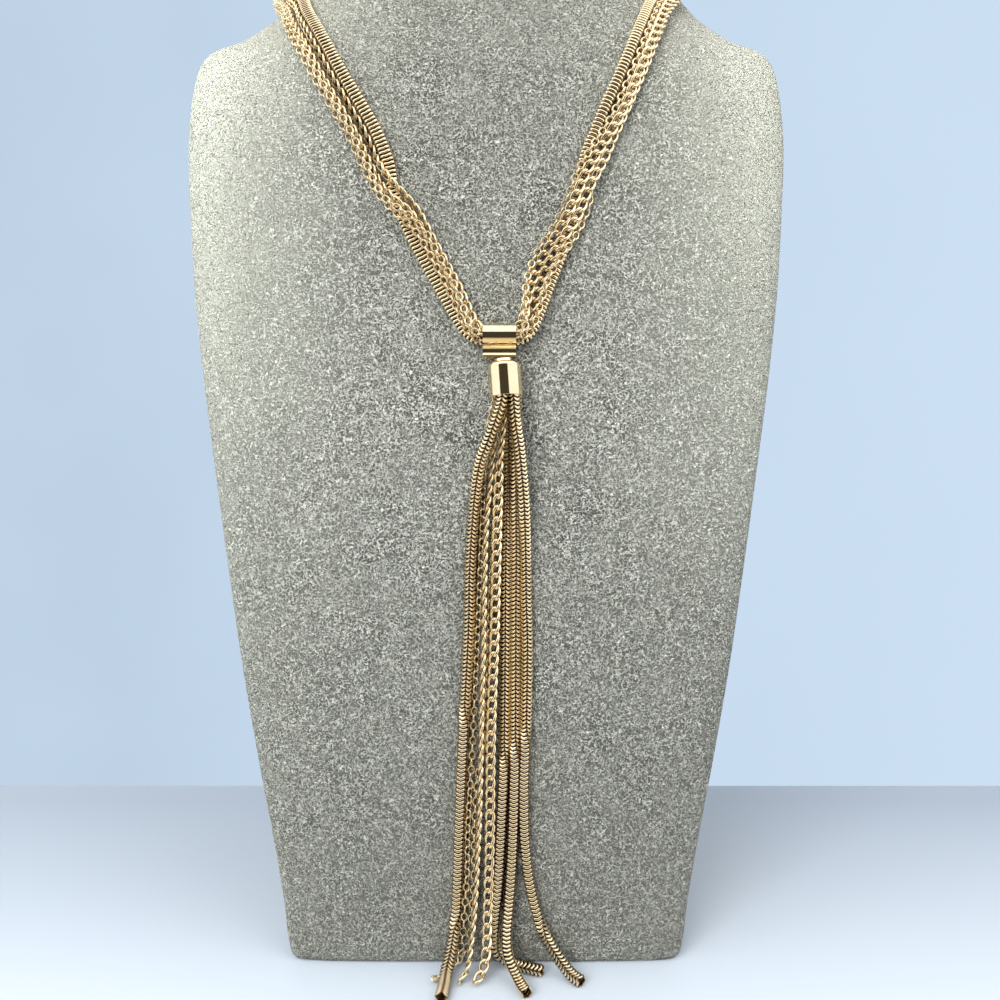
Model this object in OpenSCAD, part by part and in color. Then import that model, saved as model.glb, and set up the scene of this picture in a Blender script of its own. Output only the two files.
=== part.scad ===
// Tassel necklace of snake, curb and cable chains, worn by a plain velvet neck bust.
// Millimetres. +Z is up, the viewer looks along +Y, and the origin is in the middle of the
// bust's flat base.

/* [Bust] */
// Height of the bust from its base to the top of its neck
bust_h = 330; // [315:1:345]
// Width of the bust across the chest, where it is widest
bust_w = 189; // [184:1:200]
// Depth of the bust from the front edge of its base to its back
bust_d = 125; // [115:1:135]

/* [Chains] */
// Width of the square snake chain, face to face
snake_w = 2.7; // [2.4:0.1:2.8]
// Thickness of the curb chain where it is drawn as one strand
curb_w = 2.2; // [1.8:0.1:2.3]
// Thickness of the cable chain where it is drawn as one strand
cable_w = 1.9; // [1.6:0.1:2]
// Space between the base line of the bundle and the velvet, to the snake chain's middle
bundle_lift = 1.7; // [1.6:0.1:2.2]

/* [Curb links] */
// Width of one curb link
link_w = 3.4; // [3.2:0.05:3.6]
// Diameter of the wire of a curb link
link_wire = 0.7; // [0.6:0.02:0.72]
// Distance from one curb link to the next
link_pitch = 3.4; // [3.3:0.05:3.6]
// Free play where one curb link passes through the next
link_play = 0.3; // [0.2:0.02:0.34]

/* [Slide bail] */
// Width of the bail along the strands
bail_w = 9.9; // [8:0.1:12]
// Radius of the rounded ends of the bail's bore
bail_bore_r = 2.9; // [2.8:0.1:3.4]
// Length of the straight part of the bore, front to back
bail_stretch = 2.4; // [2.2:0.1:3.6]
// Thickness of the bail's strip
bail_wall = 0.5; // [0.4:0.05:0.8]
// Height of the foot below the bail's loop
foot_h = 3.3; // [2.6:0.1:4]
// Depth of the foot, front to back
foot_d = 4; // [3.6:0.1:5]
// Depth of the foot where it is hollowed, at half its height
foot_waist = 2.4; // [2.2:0.1:2.8]
// Radius of the hollow along the front and the back of the foot
foot_hollow_r = 2.2; // [2.2:0.1:3]

/* [Barrel cap] */
// Radius of the barrel cap
barrel_r = 5.05; // [5:0.05:5.6]
// Height of the barrel cap without its collar
barrel_h = 10.3; // [9:0.1:12]
// Thickness of the barrel's side
barrel_wall = 0.5; // [0.3:0.05:0.55]
// Thickness of the barrel's closed top
barrel_top_wall = 1; // [0.7:0.1:1.4]
// Radius of the rounded shoulder of the barrel
barrel_shoulder_r = 1.3; // [0.8:0.1:1.6]
// Radius of the collar on top of the barrel
collar_r = 2.75; // [2.2:0.05:3.2]
// Height of that collar
collar_h = 1; // [0.6:0.1:1.4]
// Angle by which the barrel swings sideways from the bail
barrel_roll = 4; // [0:1:6]
// Angle by which the barrel leans back more than the bail
barrel_extra_lean = 3; // [2:1:5]

/* [Pin and clasp] */
// Radius of the pin that joins the bail and the barrel
pin_r = 0.6; // [0.4:0.05:0.8]
// Radius of the head of that pin, inside the barrel
pin_head_r = 1.4; // [1:0.1:1.6]
// Thickness of the head
pin_head_h = 0.6; // [0.4:0.1:0.8]
// Length of the clasp behind the neck
clasp_l = 16; // [14:0.5:20]
// Height of the clasp, across all strands
clasp_w = 13.4; // [13:0.2:15]
// Thickness of the clasp
clasp_t = 3.6; // [3:0.1:4]
// Radius of the clasp's corners
clasp_corner_r = 2; // [1:0.1:3]

/* [Places] */
// Sideways place of the bail
bail_x = 4.2; // [3.5:0.1:5]
// Height of the middle of the bail's bore
bail_z = 188.5; // [187.5:0.5:189.5]
// Sideways shift of the barrel from the bail
barrel_shift = 1.2; // [0:0.1:1.8]

/* [Clearances] */
// Space between a hard piece and the velvet
skin_gap = 0.4; // [0.3:0.05:0.8]
// Space between pieces that hold each other
seat_gap = 0.1; // [0.06:0.02:0.14]
// Space between the foot of the bail and the barrel's collar
foot_gap = 0.4; // [0.3:0.05:0.6]
// Extra room round the pin in the barrel's top, so that the barrel can swing
swing_gap = 0.2; // [0.15:0.05:0.3]
// Space between a strand's end and the clasp
clasp_gap = 0.3; // [0.2:0.05:0.6]

/* [Hidden] */

// Number of points round a section of the bust
BUST_SIDES = 32;
// Number of sides of a strand
STRAND_SIDES = 8;
// Number of points along a stretch between two route points of the chain of real links
ROUTE_STEPS = 8;
// Number of points round a curb link, and of sides of its wire
LINK_SIDES = 10;
LINK_WIRE_SIDES = 5;
// Twist of a curb link from its middle to each end, in degrees
LINK_TWIST = 45;
// Step in millimetres over which the slope of the velvet is measured
SLOPE_STEP = 3;
// Step in degrees over which the turn of the velvet is measured
TURN_STEP = 3;

// Height of the bust for which the rows and the places hold their heights. They follow bust_h.
DRAWN_H = 330;
// Distance from the velvet to the snake chain in the rows. The rows follow bundle_lift.
DRAWN_LIFT = 1.7;
// Length by which a cut runs past the face that it opens
CUT = 1;

// Bust sections. Columns: height as a share of bust_h, half width as a share of bust_w / 2,
// front, depth of the rounded front edge, and back as shares of bust_d, and the squareness
// of the front and of the back.
HEIGHT = 0;
HALF = 1;
FRONT = 2;
EDGE = 3;
BACK = 4;
SQUARE_FRONT = 5;
SQUARE_BACK = 6;
SECTIONS = [
    [0,     0.617, 0.006, 0.032, 0.840, 4.5, 2.3],
    [0.006, 0.632, 0.000, 0.036, 0.848, 4.5, 2.3],
    [0.052, 0.662, 0.019, 0.056, 0.856, 3.8, 2.3],
    [0.103, 0.698, 0.038, 0.072, 0.864, 3.4, 2.3],
    [0.176, 0.752, 0.066, 0.088, 0.880, 3.1, 2.3],
    [0.264, 0.810, 0.098, 0.104, 0.896, 2.9, 2.3],
    [0.355, 0.858, 0.131, 0.112, 0.912, 2.8, 2.3],
    [0.448, 0.904, 0.166, 0.120, 0.928, 2.8, 2.3],
    [0.545, 0.950, 0.204, 0.128, 0.944, 2.7, 2.3],
    [0.621, 0.977, 0.234, 0.132, 0.960, 2.7, 2.3],
    [0.697, 0.993, 0.266, 0.136, 0.976, 2.7, 2.3],
    [0.748, 1.000, 0.291, 0.136, 0.984, 2.6, 2.3],
    [0.782, 0.996, 0.309, 0.138, 0.992, 2.6, 2.2],
    [0.809, 0.989, 0.330, 0.144, 0.992, 2.6, 2.2],
    [0.827, 0.981, 0.347, 0.154, 0.996, 2.5, 2.2],
    [0.839, 0.968, 0.360, 0.168, 1.000, 2.5, 2.2],
    [0.848, 0.944, 0.371, 0.184, 1.000, 2.4, 2.2],
    [0.854, 0.888, 0.378, 0.196, 1.000, 2.4, 2.1],
    [0.862, 0.846, 0.388, 0.208, 1.000, 2.3, 2.1],
    [0.873, 0.800, 0.403, 0.224, 1.000, 2.3, 2.1],
    [0.888, 0.756, 0.426, 0.248, 1.000, 2.2, 2.1],
    [0.906, 0.716, 0.454, 0.264, 0.996, 2.2, 2.0],
    [0.921, 0.680, 0.477, 0.272, 0.992, 2.1, 2.0],
    [0.939, 0.632, 0.499, 0.268, 0.992, 2.1, 2.0],
    [0.961, 0.590, 0.518, 0.256, 0.984, 2.1, 2.0],
    [0.985, 0.563, 0.532, 0.248, 0.980, 2.1, 2.0],
    [0.995, 0.526, 0.548, 0.232, 0.960, 2.1, 2.0],
    [1,     0.468, 0.576, 0.208, 0.928, 2.1, 2.0]];

// Places of the five neck strands across the bundle. Each pair is the distance from the
// base line towards the outside of the necklace, and the distance from the velvet.
SNAKE = 0;
CURB_1 = 1;
CURB_2 = 2;
CABLE_1 = 3;
CABLE_2 = 4;
LEFT_CLASP = [[0, 2.3], [2.6, 2.3], [5.0, 2.3], [7.2, 2.3], [9.4, 2.3]];
LEFT_NAPE = [[0, 1.7], [2.75, 1.6], [5.3, 1.6], [7.5, 1.4], [8.9, 3.3]];
LEFT_UPPER = [[-0.45, 2.0], [2.75, 1.6], [5.3, 1.6], [7.6, 1.5], [6.45, 3.55]];
LEFT_CROSS_1 = [[-0.3, 1.9], [2.1, 3.8], [4.6, 1.7], [6.9, 1.4], [5.7, 3.75]];
LEFT_CROSS_2 = [[0, 1.7], [-0.2, 4.45], [3.1, 2.9], [5.4, 1.5], [4.5, 5.05]];
LEFT_CROSS_3 = [[0, 1.7], [-3.4, 2.9], [0.3, 4.6], [3.0, 2.5], [2.5, 5.8]];
LEFT_CROSS_4 = [[0, 1.7], [-5.0, 1.5], [-2.8, 3.3], [0.6, 4.4], [-1.2, 6.1]];
LEFT_CROSS_5 = [[0, 1.7], [-5.3, 1.5], [-3.0, 2.5], [-1.7, 4.6], [-3.9, 4.9]];
LEFT_CROSS_6 = [[0, 1.7], [-5.3, 1.5], [-3.0, 2.4], [-2.2, 4.6], [-4.3, 4.7]];
LEFT_LOWER_1 = [[0, 1.7], [-5.3, 1.5], [-3.0, 2.3], [-2.2, 4.5], [-4.3, 4.7]];
LEFT_LOWER_2 = [[0.2, 2.0], [-4.9, 2.9], [-2.5, 2.2], [-1.8, 4.5], [-3.85, 5.05]];
LEFT_LOWER_3 = [[0.7, 2.6], [-3.8, 4.4], [-2.1, 2.6], [-0.6, 5.1], [-2.5, 6.3]];
LEFT_LOWER_4 = [[1.1, 3.2], [-2.6, 5.6], [-1.7, 3.2], [0.6, 5.85], [-0.8, 7.5]];
BESIDE_BAIL = [[1.35, 3.5], [-1.6, 6.1], [-1.4, 3.6], [1.4, 6.0], [0.1, 7.9]];
RIGHT_LOWER_4 = [[1.1, 3.2], [-2.6, 5.6], [-1.7, 3.2], [0.9, 5.75], [-1.4, 7.75]];
RIGHT_LOWER_3 = [[0.7, 2.6], [-3.8, 4.4], [-2.1, 2.6], [0.2, 5.15], [-3.6, 6.9]];
RIGHT_LOWER_2 = [[0.2, 2.0], [-4.9, 2.7], [-2.55, 1.95], [-0.6, 4.5], [-6.2, 4.6]];
RIGHT_LOWER_1 = [[0, 1.7], [-5.2, 1.5], [-2.7, 1.6], [-0.9, 4.1], [-7.35, 2.3]];
RIGHT_CROSS_6 = [[0, 1.7], [-4.6, 1.5], [-2.3, 3.1], [0.3, 4.35], [-6.85, 1.4]];
RIGHT_CROSS_5 = [[0, 1.7], [-3.1, 2.4], [-0.6, 4.5], [2.2, 3.4], [-5.3, 1.4]];
RIGHT_CROSS_4 = [[0, 1.7], [-1.6, 3.95], [1.6, 4.1], [3.6, 1.6], [-3.6, 1.8]];
RIGHT_CROSS_3 = [[0, 1.7], [0, 4.45], [2.7, 3.2], [4.3, 1.3], [-2.3, 3.2]];
RIGHT_CROSS_2 = [[0, 1.7], [1.1, 4.2], [4.0, 3.7], [3.7, 1.3], [-1.3, 3.9]];
RIGHT_CROSS_1 = [[0, 1.7], [2.9, 4.0], [5.7, 2.7], [3.9, 1.3], [0.6, 4.3]];
RIGHT_CROSS_0 = [[0, 1.7], [4.2, 3.9], [5.6, 1.9], [3.1, 1.3], [1.9, 3.8]];
RIGHT_UPPER = [[-0.45, 2.0], [4.9, 4.0], [5.5, 1.65], [2.5, 1.4], [2.7, 3.5]];
RIGHT_NAPE_2 = [[0, 1.7], [5.8, 3.7], [6.9, 1.5], [2.5, 1.3], [3.6, 3.1]];
RIGHT_NAPE_1 = [[0, 1.9], [6.6, 3.3], [8.6, 1.7], [2.5, 1.6], [4.4, 2.7]];
RIGHT_CLASP = [[0, 2.3], [6.9, 2.3], [9.3, 2.3], [2.45, 2.3], [4.6, 2.3]];
// In the bail's bore the second number of a pair counts from the middle of the bore
IN_BAIL = [[1.4, -1.45], [-1.5, 1.2], [-1.3, -1.3], [1.45, 1.0], [0.2, 2.95]];

// Base line of the neck strands on the velvet. Behind the neck a row holds the bearing
// about the bust in degrees and the height, and on the chest the sideways place and the
// height. The clasp's and the bail's rows are worked out below.
NAPE_Z = 310;
LEFT_NECK = [
    [106, 310, LEFT_NAPE], [115, 310, LEFT_UPPER], [125, 310, LEFT_UPPER],
    [135, 309.8, LEFT_UPPER], [145, 309.5, LEFT_UPPER], [154, 309, LEFT_UPPER],
    [163, 308.3, LEFT_UPPER], [171, 307.3, LEFT_UPPER], [180, 305.8, LEFT_UPPER],
    [-173, 304, LEFT_UPPER], [-166, 302, LEFT_UPPER], [-159, 299.8, LEFT_UPPER],
    [-152, 297.5, LEFT_UPPER]];
LEFT_CHEST = [
    [-58.5, 294, LEFT_UPPER], [-56, 288, LEFT_UPPER], [-52.6, 282, LEFT_UPPER],
    [-50.5, 278.5, LEFT_UPPER], [-48.4, 275, LEFT_UPPER],
    [-44.4, 268, LEFT_UPPER], [-39.2, 259.5, LEFT_UPPER],
    [-34.1, 251, LEFT_UPPER], [-31.2, 244.5, LEFT_UPPER], [-29.2, 239, LEFT_CROSS_1],
    [-28.2, 234, LEFT_CROSS_2], [-27, 229, LEFT_CROSS_3], [-24.8, 224, LEFT_CROSS_4],
    [-22.2, 218.5, LEFT_CROSS_5], [-19.2, 212.8, LEFT_CROSS_6], [-16, 207, LEFT_LOWER_1],
    [-12, 200.3, LEFT_LOWER_2], [-8.3, 194.5, LEFT_LOWER_3], [-5.2, 190.6, LEFT_LOWER_4],
    [-2.6, 188.8, BESIDE_BAIL]];
RIGHT_CHEST = [
    [11, 188.8, BESIDE_BAIL], [13.2, 190.8, RIGHT_LOWER_4], [15.3, 194.5, RIGHT_LOWER_3],
    [17.7, 200, RIGHT_LOWER_2], [20.3, 206.5, RIGHT_LOWER_1], [22.7, 212.5, RIGHT_CROSS_6],
    [24.7, 218.5, RIGHT_CROSS_5], [26.2, 224.5, RIGHT_CROSS_4], [27.4, 230.5, RIGHT_CROSS_3],
    [28.7, 236.5, RIGHT_CROSS_2], [30.3, 243, RIGHT_CROSS_1], [33, 249.5, RIGHT_CROSS_0],
    [36.1, 256, RIGHT_UPPER], [39.8, 264, RIGHT_UPPER], [43.4, 272, RIGHT_UPPER],
    [46.4, 279, RIGHT_UPPER], [49.1, 285.5, RIGHT_UPPER], [51.9, 292, RIGHT_UPPER]];
RIGHT_NECK = [
    [-36, 298.5, RIGHT_UPPER], [-29, 302, RIGHT_UPPER], [-22, 304.8, RIGHT_UPPER],
    [-15, 307, RIGHT_UPPER], [-8, 308.6, RIGHT_UPPER], [0, 309.8, RIGHT_UPPER],
    [9, 310.5, RIGHT_UPPER], [17, 310.8, RIGHT_UPPER], [26, 310.9, RIGHT_UPPER],
    [35, 310.8, RIGHT_UPPER], [45, 310.5, RIGHT_UPPER], [55, 310.2, RIGHT_UPPER],
    [65, 310, RIGHT_NAPE_2], [74, 310, RIGHT_NAPE_1]];

// Tassel strands on the chest. A row is the sideways place, the height, and the distance
// from the velvet. The free rows near the floor are the sideways place, the distance behind
// the front edge of the base, and the height.
SNAKE_A_CHEST = [
    [3.4, 164, 8.5], [0.8, 157, 7.2], [-1.7, 150, 5.1], [-3.4, 138, 2.4], [-4.6, 120, 1.8],
    [-5, 101, 1.7], [-6, 82, 1.7], [-6.8, 67, 1.7], [-7.8, 45, 1.7], [-8.5, 25, 1.8],
    [-9, 15, 2.2]];
SNAKE_A_FLOOR = [[-10, -3.5, 7.5], [-11.5, -10, 2.6], [-12, -16, 1.5], [-12.5, -21, 1.5]];
SNAKE_B_CHEST = [
    [7, 163, 2.8], [6.9, 152, 2], [6.6, 140, 1.7], [6.2, 124, 1.7], [6, 96, 1.7],
    [5.8, 74, 1.7], [5.6, 60, 1.7], [5, 46, 1.7], [4, 27, 1.7], [2.8, 13, 1.8]];
SNAKE_B_FLOOR = [[2.8, -0.9, 7], [4.6, -1.8, 3.4], [8.5, -3.2, 1.5], [13, -5.5, 1.5],
                 [18, -7.5, 1.5]];
SNAKE_C_CHEST = [
    [8.9, 163, 5.2], [9, 154, 4.3], [9.1, 140, 3.4], [9.2, 124, 2], [9.1, 109, 1.7],
    [9, 81, 1.7], [8.9, 64, 1.7], [8.4, 42, 1.7], [7.7, 27, 1.8], [7, 18, 2.4]];
SNAKE_C_FLOOR = [[6.4, -3.5, 11], [6.8, -7.5, 6.5], [9.2, -12, 3], [11, -16, 1.6],
                 [12.5, -19.5, 1.5]];
SNAKE_D_CHEST = [
    [8.9, 163, 8.2], [10.2, 154, 7], [11.5, 140, 5.1], [12.1, 124, 2.2], [12.3, 109, 1.7],
    [12.6, 96, 1.7], [12.3, 74, 1.7], [11.7, 58, 1.7], [11.7, 43, 1.7], [12.3, 33, 1.7],
    [13.5, 24, 1.8], [15.8, 15, 2.4]];
SNAKE_D_FLOOR = [[18.6, -2.2, 9], [22.3, -6, 4.5], [25.5, -9.8, 1.9], [28.5, -13, 1.5]];
CURB_FRONT_CHEST = [
    [5.3, 160, 6], [4.4, 152, 5.2], [3.8, 140, 4.1], [3.2, 118, 3.4], [2.8, 101, 3.3],
    [2, 81, 3.3], [1.6, 67, 3.3], [1.4, 50, 3.3], [1.2, 36, 3.4], [0.9, 25, 3.6],
    [0.6, 16, 4.1]];
CURB_FRONT_FLOOR = [[0.5, -4.3, 10.2], [0.3, -6.3, 6.5], [-0.3, -8.6, 3.7], [-1.5, -11, 1.9],
                    [-3.8, -14, 0.8]];
CURB_SIDE_CHEST = [
    [3, 163, 4.2], [2.5, 155, 3.2], [1.5, 145, 3], [0.3, 132, 3.1], [-0.2, 117, 3.1],
    [-0.6, 96, 3.2], [-1.2, 76, 3.4], [-1.4, 62, 3.6], [-1.7, 50, 3.5], [-2, 41, 3.4],
    [-2.4, 34, 3.4], [-2.7, 27, 3.5], [-3.3, 17, 3.9]];
CURB_SIDE_FLOOR = [[-4.2, -4, 9], [-5.2, -8.5, 3.2], [-7.2, -12, 1.2], [-8.6, -15, 1.2]];
CABLE_1_CHEST = [
    [1.4, 163, 5.9], [0.3, 155, 4], [-0.6, 145, 1.6], [-1, 132, 1.3], [-1.7, 117, 1.3],
    [-2.4, 100, 1.3], [-3.2, 82, 1.3], [-4, 64, 1.3], [-5, 48, 1.3], [-5.4, 40, 1.3],
    [-5.6, 27, 1.4], [-6.2, 18, 1.6]];
CABLE_1_FLOOR = [[-6.9, -0.8, 9.5], [-8.4, -3.4, 4.3], [-11.4, -6.9, 1.1],
                 [-15.8, -11.8, 1.1]];
CABLE_2_CHEST = [
    [4.6, 163, 2.3], [4.4, 152, 1.4], [3.4, 140, 1.3], [2, 120, 1.3], [1.2, 101, 1.3],
    [0.6, 82, 1.3], [-0.8, 66, 1.3], [-2.2, 57, 1.3], [-3, 48, 1.3], [-3.4, 38, 1.3],
    [-3.4, 28, 1.3], [-4, 17, 1.3]];
CABLE_2_FLOOR = [[-5, -0.2, 8], [-6.6, -0.9, 3.4], [-9.6, -2.2, 1.1], [-14.5, -4, 1.1]];

// Bearings of the outer strands inside the barrel, in degrees from the right to the front
BEARING_A = 110;
BEARING_B = -70;
BEARING_C = -15;
BEARING_D = 45;
BEARING_CURB_SIDE = -156;
BEARING_CABLE_1 = 162;
BEARING_CABLE_2 = -114;

rise = bust_h / DRAWN_H;
bail_height = bail_z * rise;
nape_height = NAPE_Z * rise;

// Middle of the base, counted from the table's zero
base_middle = (SECTIONS[0][FRONT] + SECTIONS[0][BACK]) / 2 * bust_d;

// Lookup tables of the bust, in millimetres
half_table = [for (s = SECTIONS) [s[HEIGHT] * bust_h, s[HALF] * bust_w / 2]];
front_table = [for (s = SECTIONS) [s[HEIGHT] * bust_h, s[FRONT] * bust_d - base_middle]];
edge_table = [for (s = SECTIONS) [s[HEIGHT] * bust_h, s[EDGE] * bust_d]];
back_table = [for (s = SECTIONS) [s[HEIGHT] * bust_h, s[BACK] * bust_d - base_middle]];
square_front_table = [for (s = SECTIONS) [s[HEIGHT] * bust_h, s[SQUARE_FRONT]]];
square_back_table = [for (s = SECTIONS) [s[HEIGHT] * bust_h, s[SQUARE_BACK]]];

snake_r = snake_w / 2;
curb_r = curb_w / 2;
cable_r = cable_w / 2;
bail_half_h = bail_bore_r + bail_wall;
bail_half_d = bail_half_h + bail_stretch / 2;
bail_lift = bail_half_d + skin_gap;
barrel_lift = barrel_r + skin_gap;
barrel_bore_r = barrel_r - barrel_wall;
pin_hole_r = pin_r + seat_gap;
barrel_drop = bail_half_h + foot_h + foot_gap;
// Depth of the pin's seat in the foot, and the length of the pin
pin_seat = foot_h * 0.6;
head_z = -(collar_h + barrel_top_wall + 2 * seat_gap + pin_head_h);
pin_l = pin_seat + foot_gap - head_z;
strand_top = head_z - 2 * seat_gap;
mouth_z = -(collar_h + barrel_h);

// A point of the bust's skin at a bearing and a height. Bearings run from -180 at the left
// edge over -90 in the middle of the front, 0 at the right edge and 90 at the back to 180.
function skin(bearing, z) =
    let (front = lookup(z, front_table), edge = lookup(z, edge_table),
         back = lookup(z, back_table), half = lookup(z, half_table),
         ahead = sin(bearing) < 0,
         power = 2 / lookup(z, ahead ? square_front_table : square_back_table),
         reach = ahead ? edge : back - front - edge)
    [half * sign(cos(bearing)) * pow(abs(cos(bearing)), power),
     front + edge + reach * sign(sin(bearing)) * pow(abs(sin(bearing)), power),
     z];

// Bearing of the place x on the front of the bust
function front_bearing(x, z) =
    -acos(sign(x) * pow(abs(x) / lookup(z, half_table), lookup(z, square_front_table) / 2));

// Bearing of the place x on the back of the bust
function back_bearing(x, z) =
    acos(sign(x) * pow(abs(x) / lookup(z, half_table), lookup(z, square_back_table) / 2));

function unit(v) = v / norm(v);

// Outward direction of the skin
function outward(bearing, z) =
    unit(cross(skin(bearing + TURN_STEP, z) - skin(bearing - TURN_STEP, z),
               skin(bearing, z + SLOPE_STEP) - skin(bearing, z - SLOPE_STEP)));

// A point in front of the chest
function over_chest(x, z, lift) =
    let (b = front_bearing(x, z)) skin(b, z) + outward(b, z) * lift;

chest_out = outward(front_bearing(bail_x, bail_height), bail_height);
chest_lean = asin(chest_out[2]);
bail_middle = over_chest(bail_x, bail_height, bail_lift);
barrel_lean = chest_lean + barrel_extra_lean;

// Turns a vector back by the lean about X, after a roll about Y
function leaned(v, lean, roll) =
    let (x = v[0] * cos(roll) - v[2] * sin(roll), z = v[0] * sin(roll) + v[2] * cos(roll))
    [x, v[1] * cos(lean) + z * sin(lean), z * cos(lean) - v[1] * sin(lean)];

barrel_top = bail_middle
    + leaned([barrel_shift, bail_lift - barrel_lift, -barrel_drop], chest_lean, 0);

// A point in the barrel's own frame, whose origin is on top of the collar
function in_barrel(p) = barrel_top + leaned(p, barrel_lean, barrel_roll);

// The two route points of a strand inside the barrel
function barrel_route(bearing, ring_r) =
    [for (z = [strand_top, mouth_z]) in_barrel([ring_r * cos(bearing), -ring_r * sin(bearing), z])];

// Catmull-Rom point between points i and i + 1
function spline_point(p, i, f) =
    let (a = p[max(i - 1, 0)], b = p[i], c = p[i + 1], d = p[min(i + 2, len(p) - 1)])
    (2 * b + (c - a) * f + (2 * a - 5 * b + 4 * c - d) * f * f
     + (3 * b - a - 3 * c + d) * f * f * f) / 2;

function smooth(p) = concat(
    [for (i = [0:len(p) - 2], k = [0:ROUTE_STEPS - 1]) spline_point(p, i, k / ROUTE_STEPS)],
    [p[len(p) - 1]]);

// Distances from the route's start to each of its points
function distances(p, i = 1, found = [0]) =
    i == len(p) ? found
    : distances(p, i + 1, concat(found, [found[i - 1] + norm(p[i] - p[i - 1])]));

// Points at the given distances along a route
function places(p, at) =
    let (d = distances(p),
         tables = [for (axis = [0:2]) [for (i = [0:len(p) - 1]) [d[i], p[i][axis]]]])
    [for (s = at) [for (axis = [0:2]) lookup(s, tables[axis])]];

function route_length(p) = let (d = distances(p)) d[len(d) - 1];

// Direction of a route at point i
function heading(p, i) = unit(p[min(i + 1, len(p) - 1)] - p[max(i - 1, 0)]);

// A direction across the route, carried along without turning about it
function carried(p, across, i = 0, found = []) =
    i == len(p) ? found
    : let (t = heading(p, i), c = unit(across - t * (across * t)))
      carried(p, c, i + 1, concat(found, [c]));

// Ring of a strand about a centre
function ring(centre, along, across, r) =
    let (other = cross(along, across))
    [for (k = [0:STRAND_SIDES - 1])
        let (a = (k + 0.5) * 360 / STRAND_SIDES)
        centre + r * (cos(a) * across + sin(a) * other)];

// Closed solid through rings that run counterclockwise about the way they follow each other
module loft(rings) {
    n = len(rings[0]);
    last = len(rings) - 1;
    polyhedron(
        points = [for (r = rings) each r],
        faces = concat(
            [[for (i = [0:n - 1]) i]],
            [for (k = [0:last - 1], i = [0:n - 1])
                let (j = (i + 1) % n)
                each [[k * n + i, (k + 1) * n + i, (k + 1) * n + j],
                      [k * n + i, (k + 1) * n + j, k * n + j]]],
            [[for (i = [n - 1:-1:0]) last * n + i]]));
}

// Closed tube of radius r with a ring at each point of a route
module strand(route, r) {
    across = carried(route, [1, 0, 0]);
    loft([for (i = [0:len(route) - 1]) ring(route[i], heading(route, i), across[i], r)]);
}

clasp_z = nape_height + snake_w - clasp_w / 2;

// Stations of the neck strands: bearing, height and places of the five strands
clasp_bearing_x = clasp_l / 2 + clasp_gap;
stations = concat(
    [[back_bearing(-clasp_bearing_x, nape_height), nape_height, LEFT_CLASP]],
    [for (r = LEFT_NECK) [r[0], r[1] * rise, r[2]]],
    [for (r = LEFT_CHEST) [front_bearing(r[0], r[1] * rise), r[1] * rise, r[2]]],
    [for (x = [-1, 0, 1])
        [front_bearing(bail_x + x * bail_w / 2, bail_height), bail_height,
         [for (place = IN_BAIL) [place[0], place[1] + bail_lift]]]],
    [for (r = RIGHT_CHEST) [front_bearing(r[0], r[1] * rise), r[1] * rise, r[2]]],
    [for (r = RIGHT_NECK) [r[0], r[1] * rise, r[2]]],
    [[back_bearing(clasp_bearing_x, nape_height), nape_height, RIGHT_CLASP]]);
base_line = [for (s = stations) skin(s[0], s[1])];

// Route of one of the five neck strands
function neck_route(which) =
    [for (i = [0:len(stations) - 1])
        let (s = stations[i], out = outward(s[0], s[1]), place = s[2][which],
             aside = unit(cross(heading(base_line, i), out)))
        base_line[i] + aside * place[0] + out * (place[1] + bundle_lift - DRAWN_LIFT)];

// Route of a tassel strand from inside the barrel to its end on the floor
function tassel_route(bearing, ring_r, chest, floor_part) = concat(
    barrel_route(bearing, ring_r),
    [for (r = chest) over_chest(r[0], r[1] * rise, r[2])],
    [for (r = floor_part) [r[0], r[1] - base_middle, r[2]]]);

snake_ring_r = barrel_bore_r - snake_r - seat_gap;
curb_ring_r = barrel_bore_r - curb_r - seat_gap;
cable_ring_r = barrel_bore_r - cable_r - seat_gap;

// One curb link about its own middle: an oval of round wire, long along X, whose two ends
// are turned opposite ways about X. Its ends are flat sides of the oval.
link_step = 360 / LINK_SIDES;
link_long_r = (link_pitch + link_wire + link_play) / 2 / cos(link_step / 2);
link_short_r = (link_w - link_wire) / 2;

function link_curve(a) =
    let (x = link_long_r * cos(a), y = link_short_r * sin(a), turn = LINK_TWIST * x / link_long_r)
    [x, y * cos(turn), y * sin(turn)];

// A vector in the frame of a link on its route
function placed(v, along, flat, out) = v[0] * along + v[1] * flat + v[2] * out;

module curb_link(from, to, out_hint) {
    along = unit(to - from);
    out = unit(out_hint - along * (out_hint * along));
    flat = cross(out, along);
    rings = [for (k = [0:LINK_SIDES - 1])
        let (a = (k + 0.5) * link_step, c = link_curve(a),
             t = unit(link_curve(a + link_step) - link_curve(a - link_step)),
             u = unit(cross(t, [0, 0, 1])), v = cross(t, u))
        [for (m = [0:LINK_WIRE_SIDES - 1])
            let (w = m * 360 / LINK_WIRE_SIDES)
            (from + to) / 2
            + placed(c + link_wire / 2 * (cos(w) * u + sin(w) * v), along, flat, out)]];
    n = LINK_WIRE_SIDES;
    polyhedron(
        points = [for (r = rings) each r],
        faces = [for (k = [0:LINK_SIDES - 1], i = [0:n - 1])
            let (j = (i + 1) % n, next = (k + 1) % LINK_SIDES)
            each [[k * n + i, next * n + i, next * n + j], [k * n + i, next * n + j, k * n + j]]]);
}

// Curb chain of real links along a route
module curb_chain(route) {
    p = smooth(route);
    start = link_wire + link_play;
    n = floor((route_length(p) - start) / link_pitch);
    joints = places(p, [for (i = [0:n]) start + i * link_pitch]);
    outs = carried(joints, [0, -1, 0]);
    for (i = [0:n - 1]) curb_link(joints[i], joints[i + 1], outs[i]);
}

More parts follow.
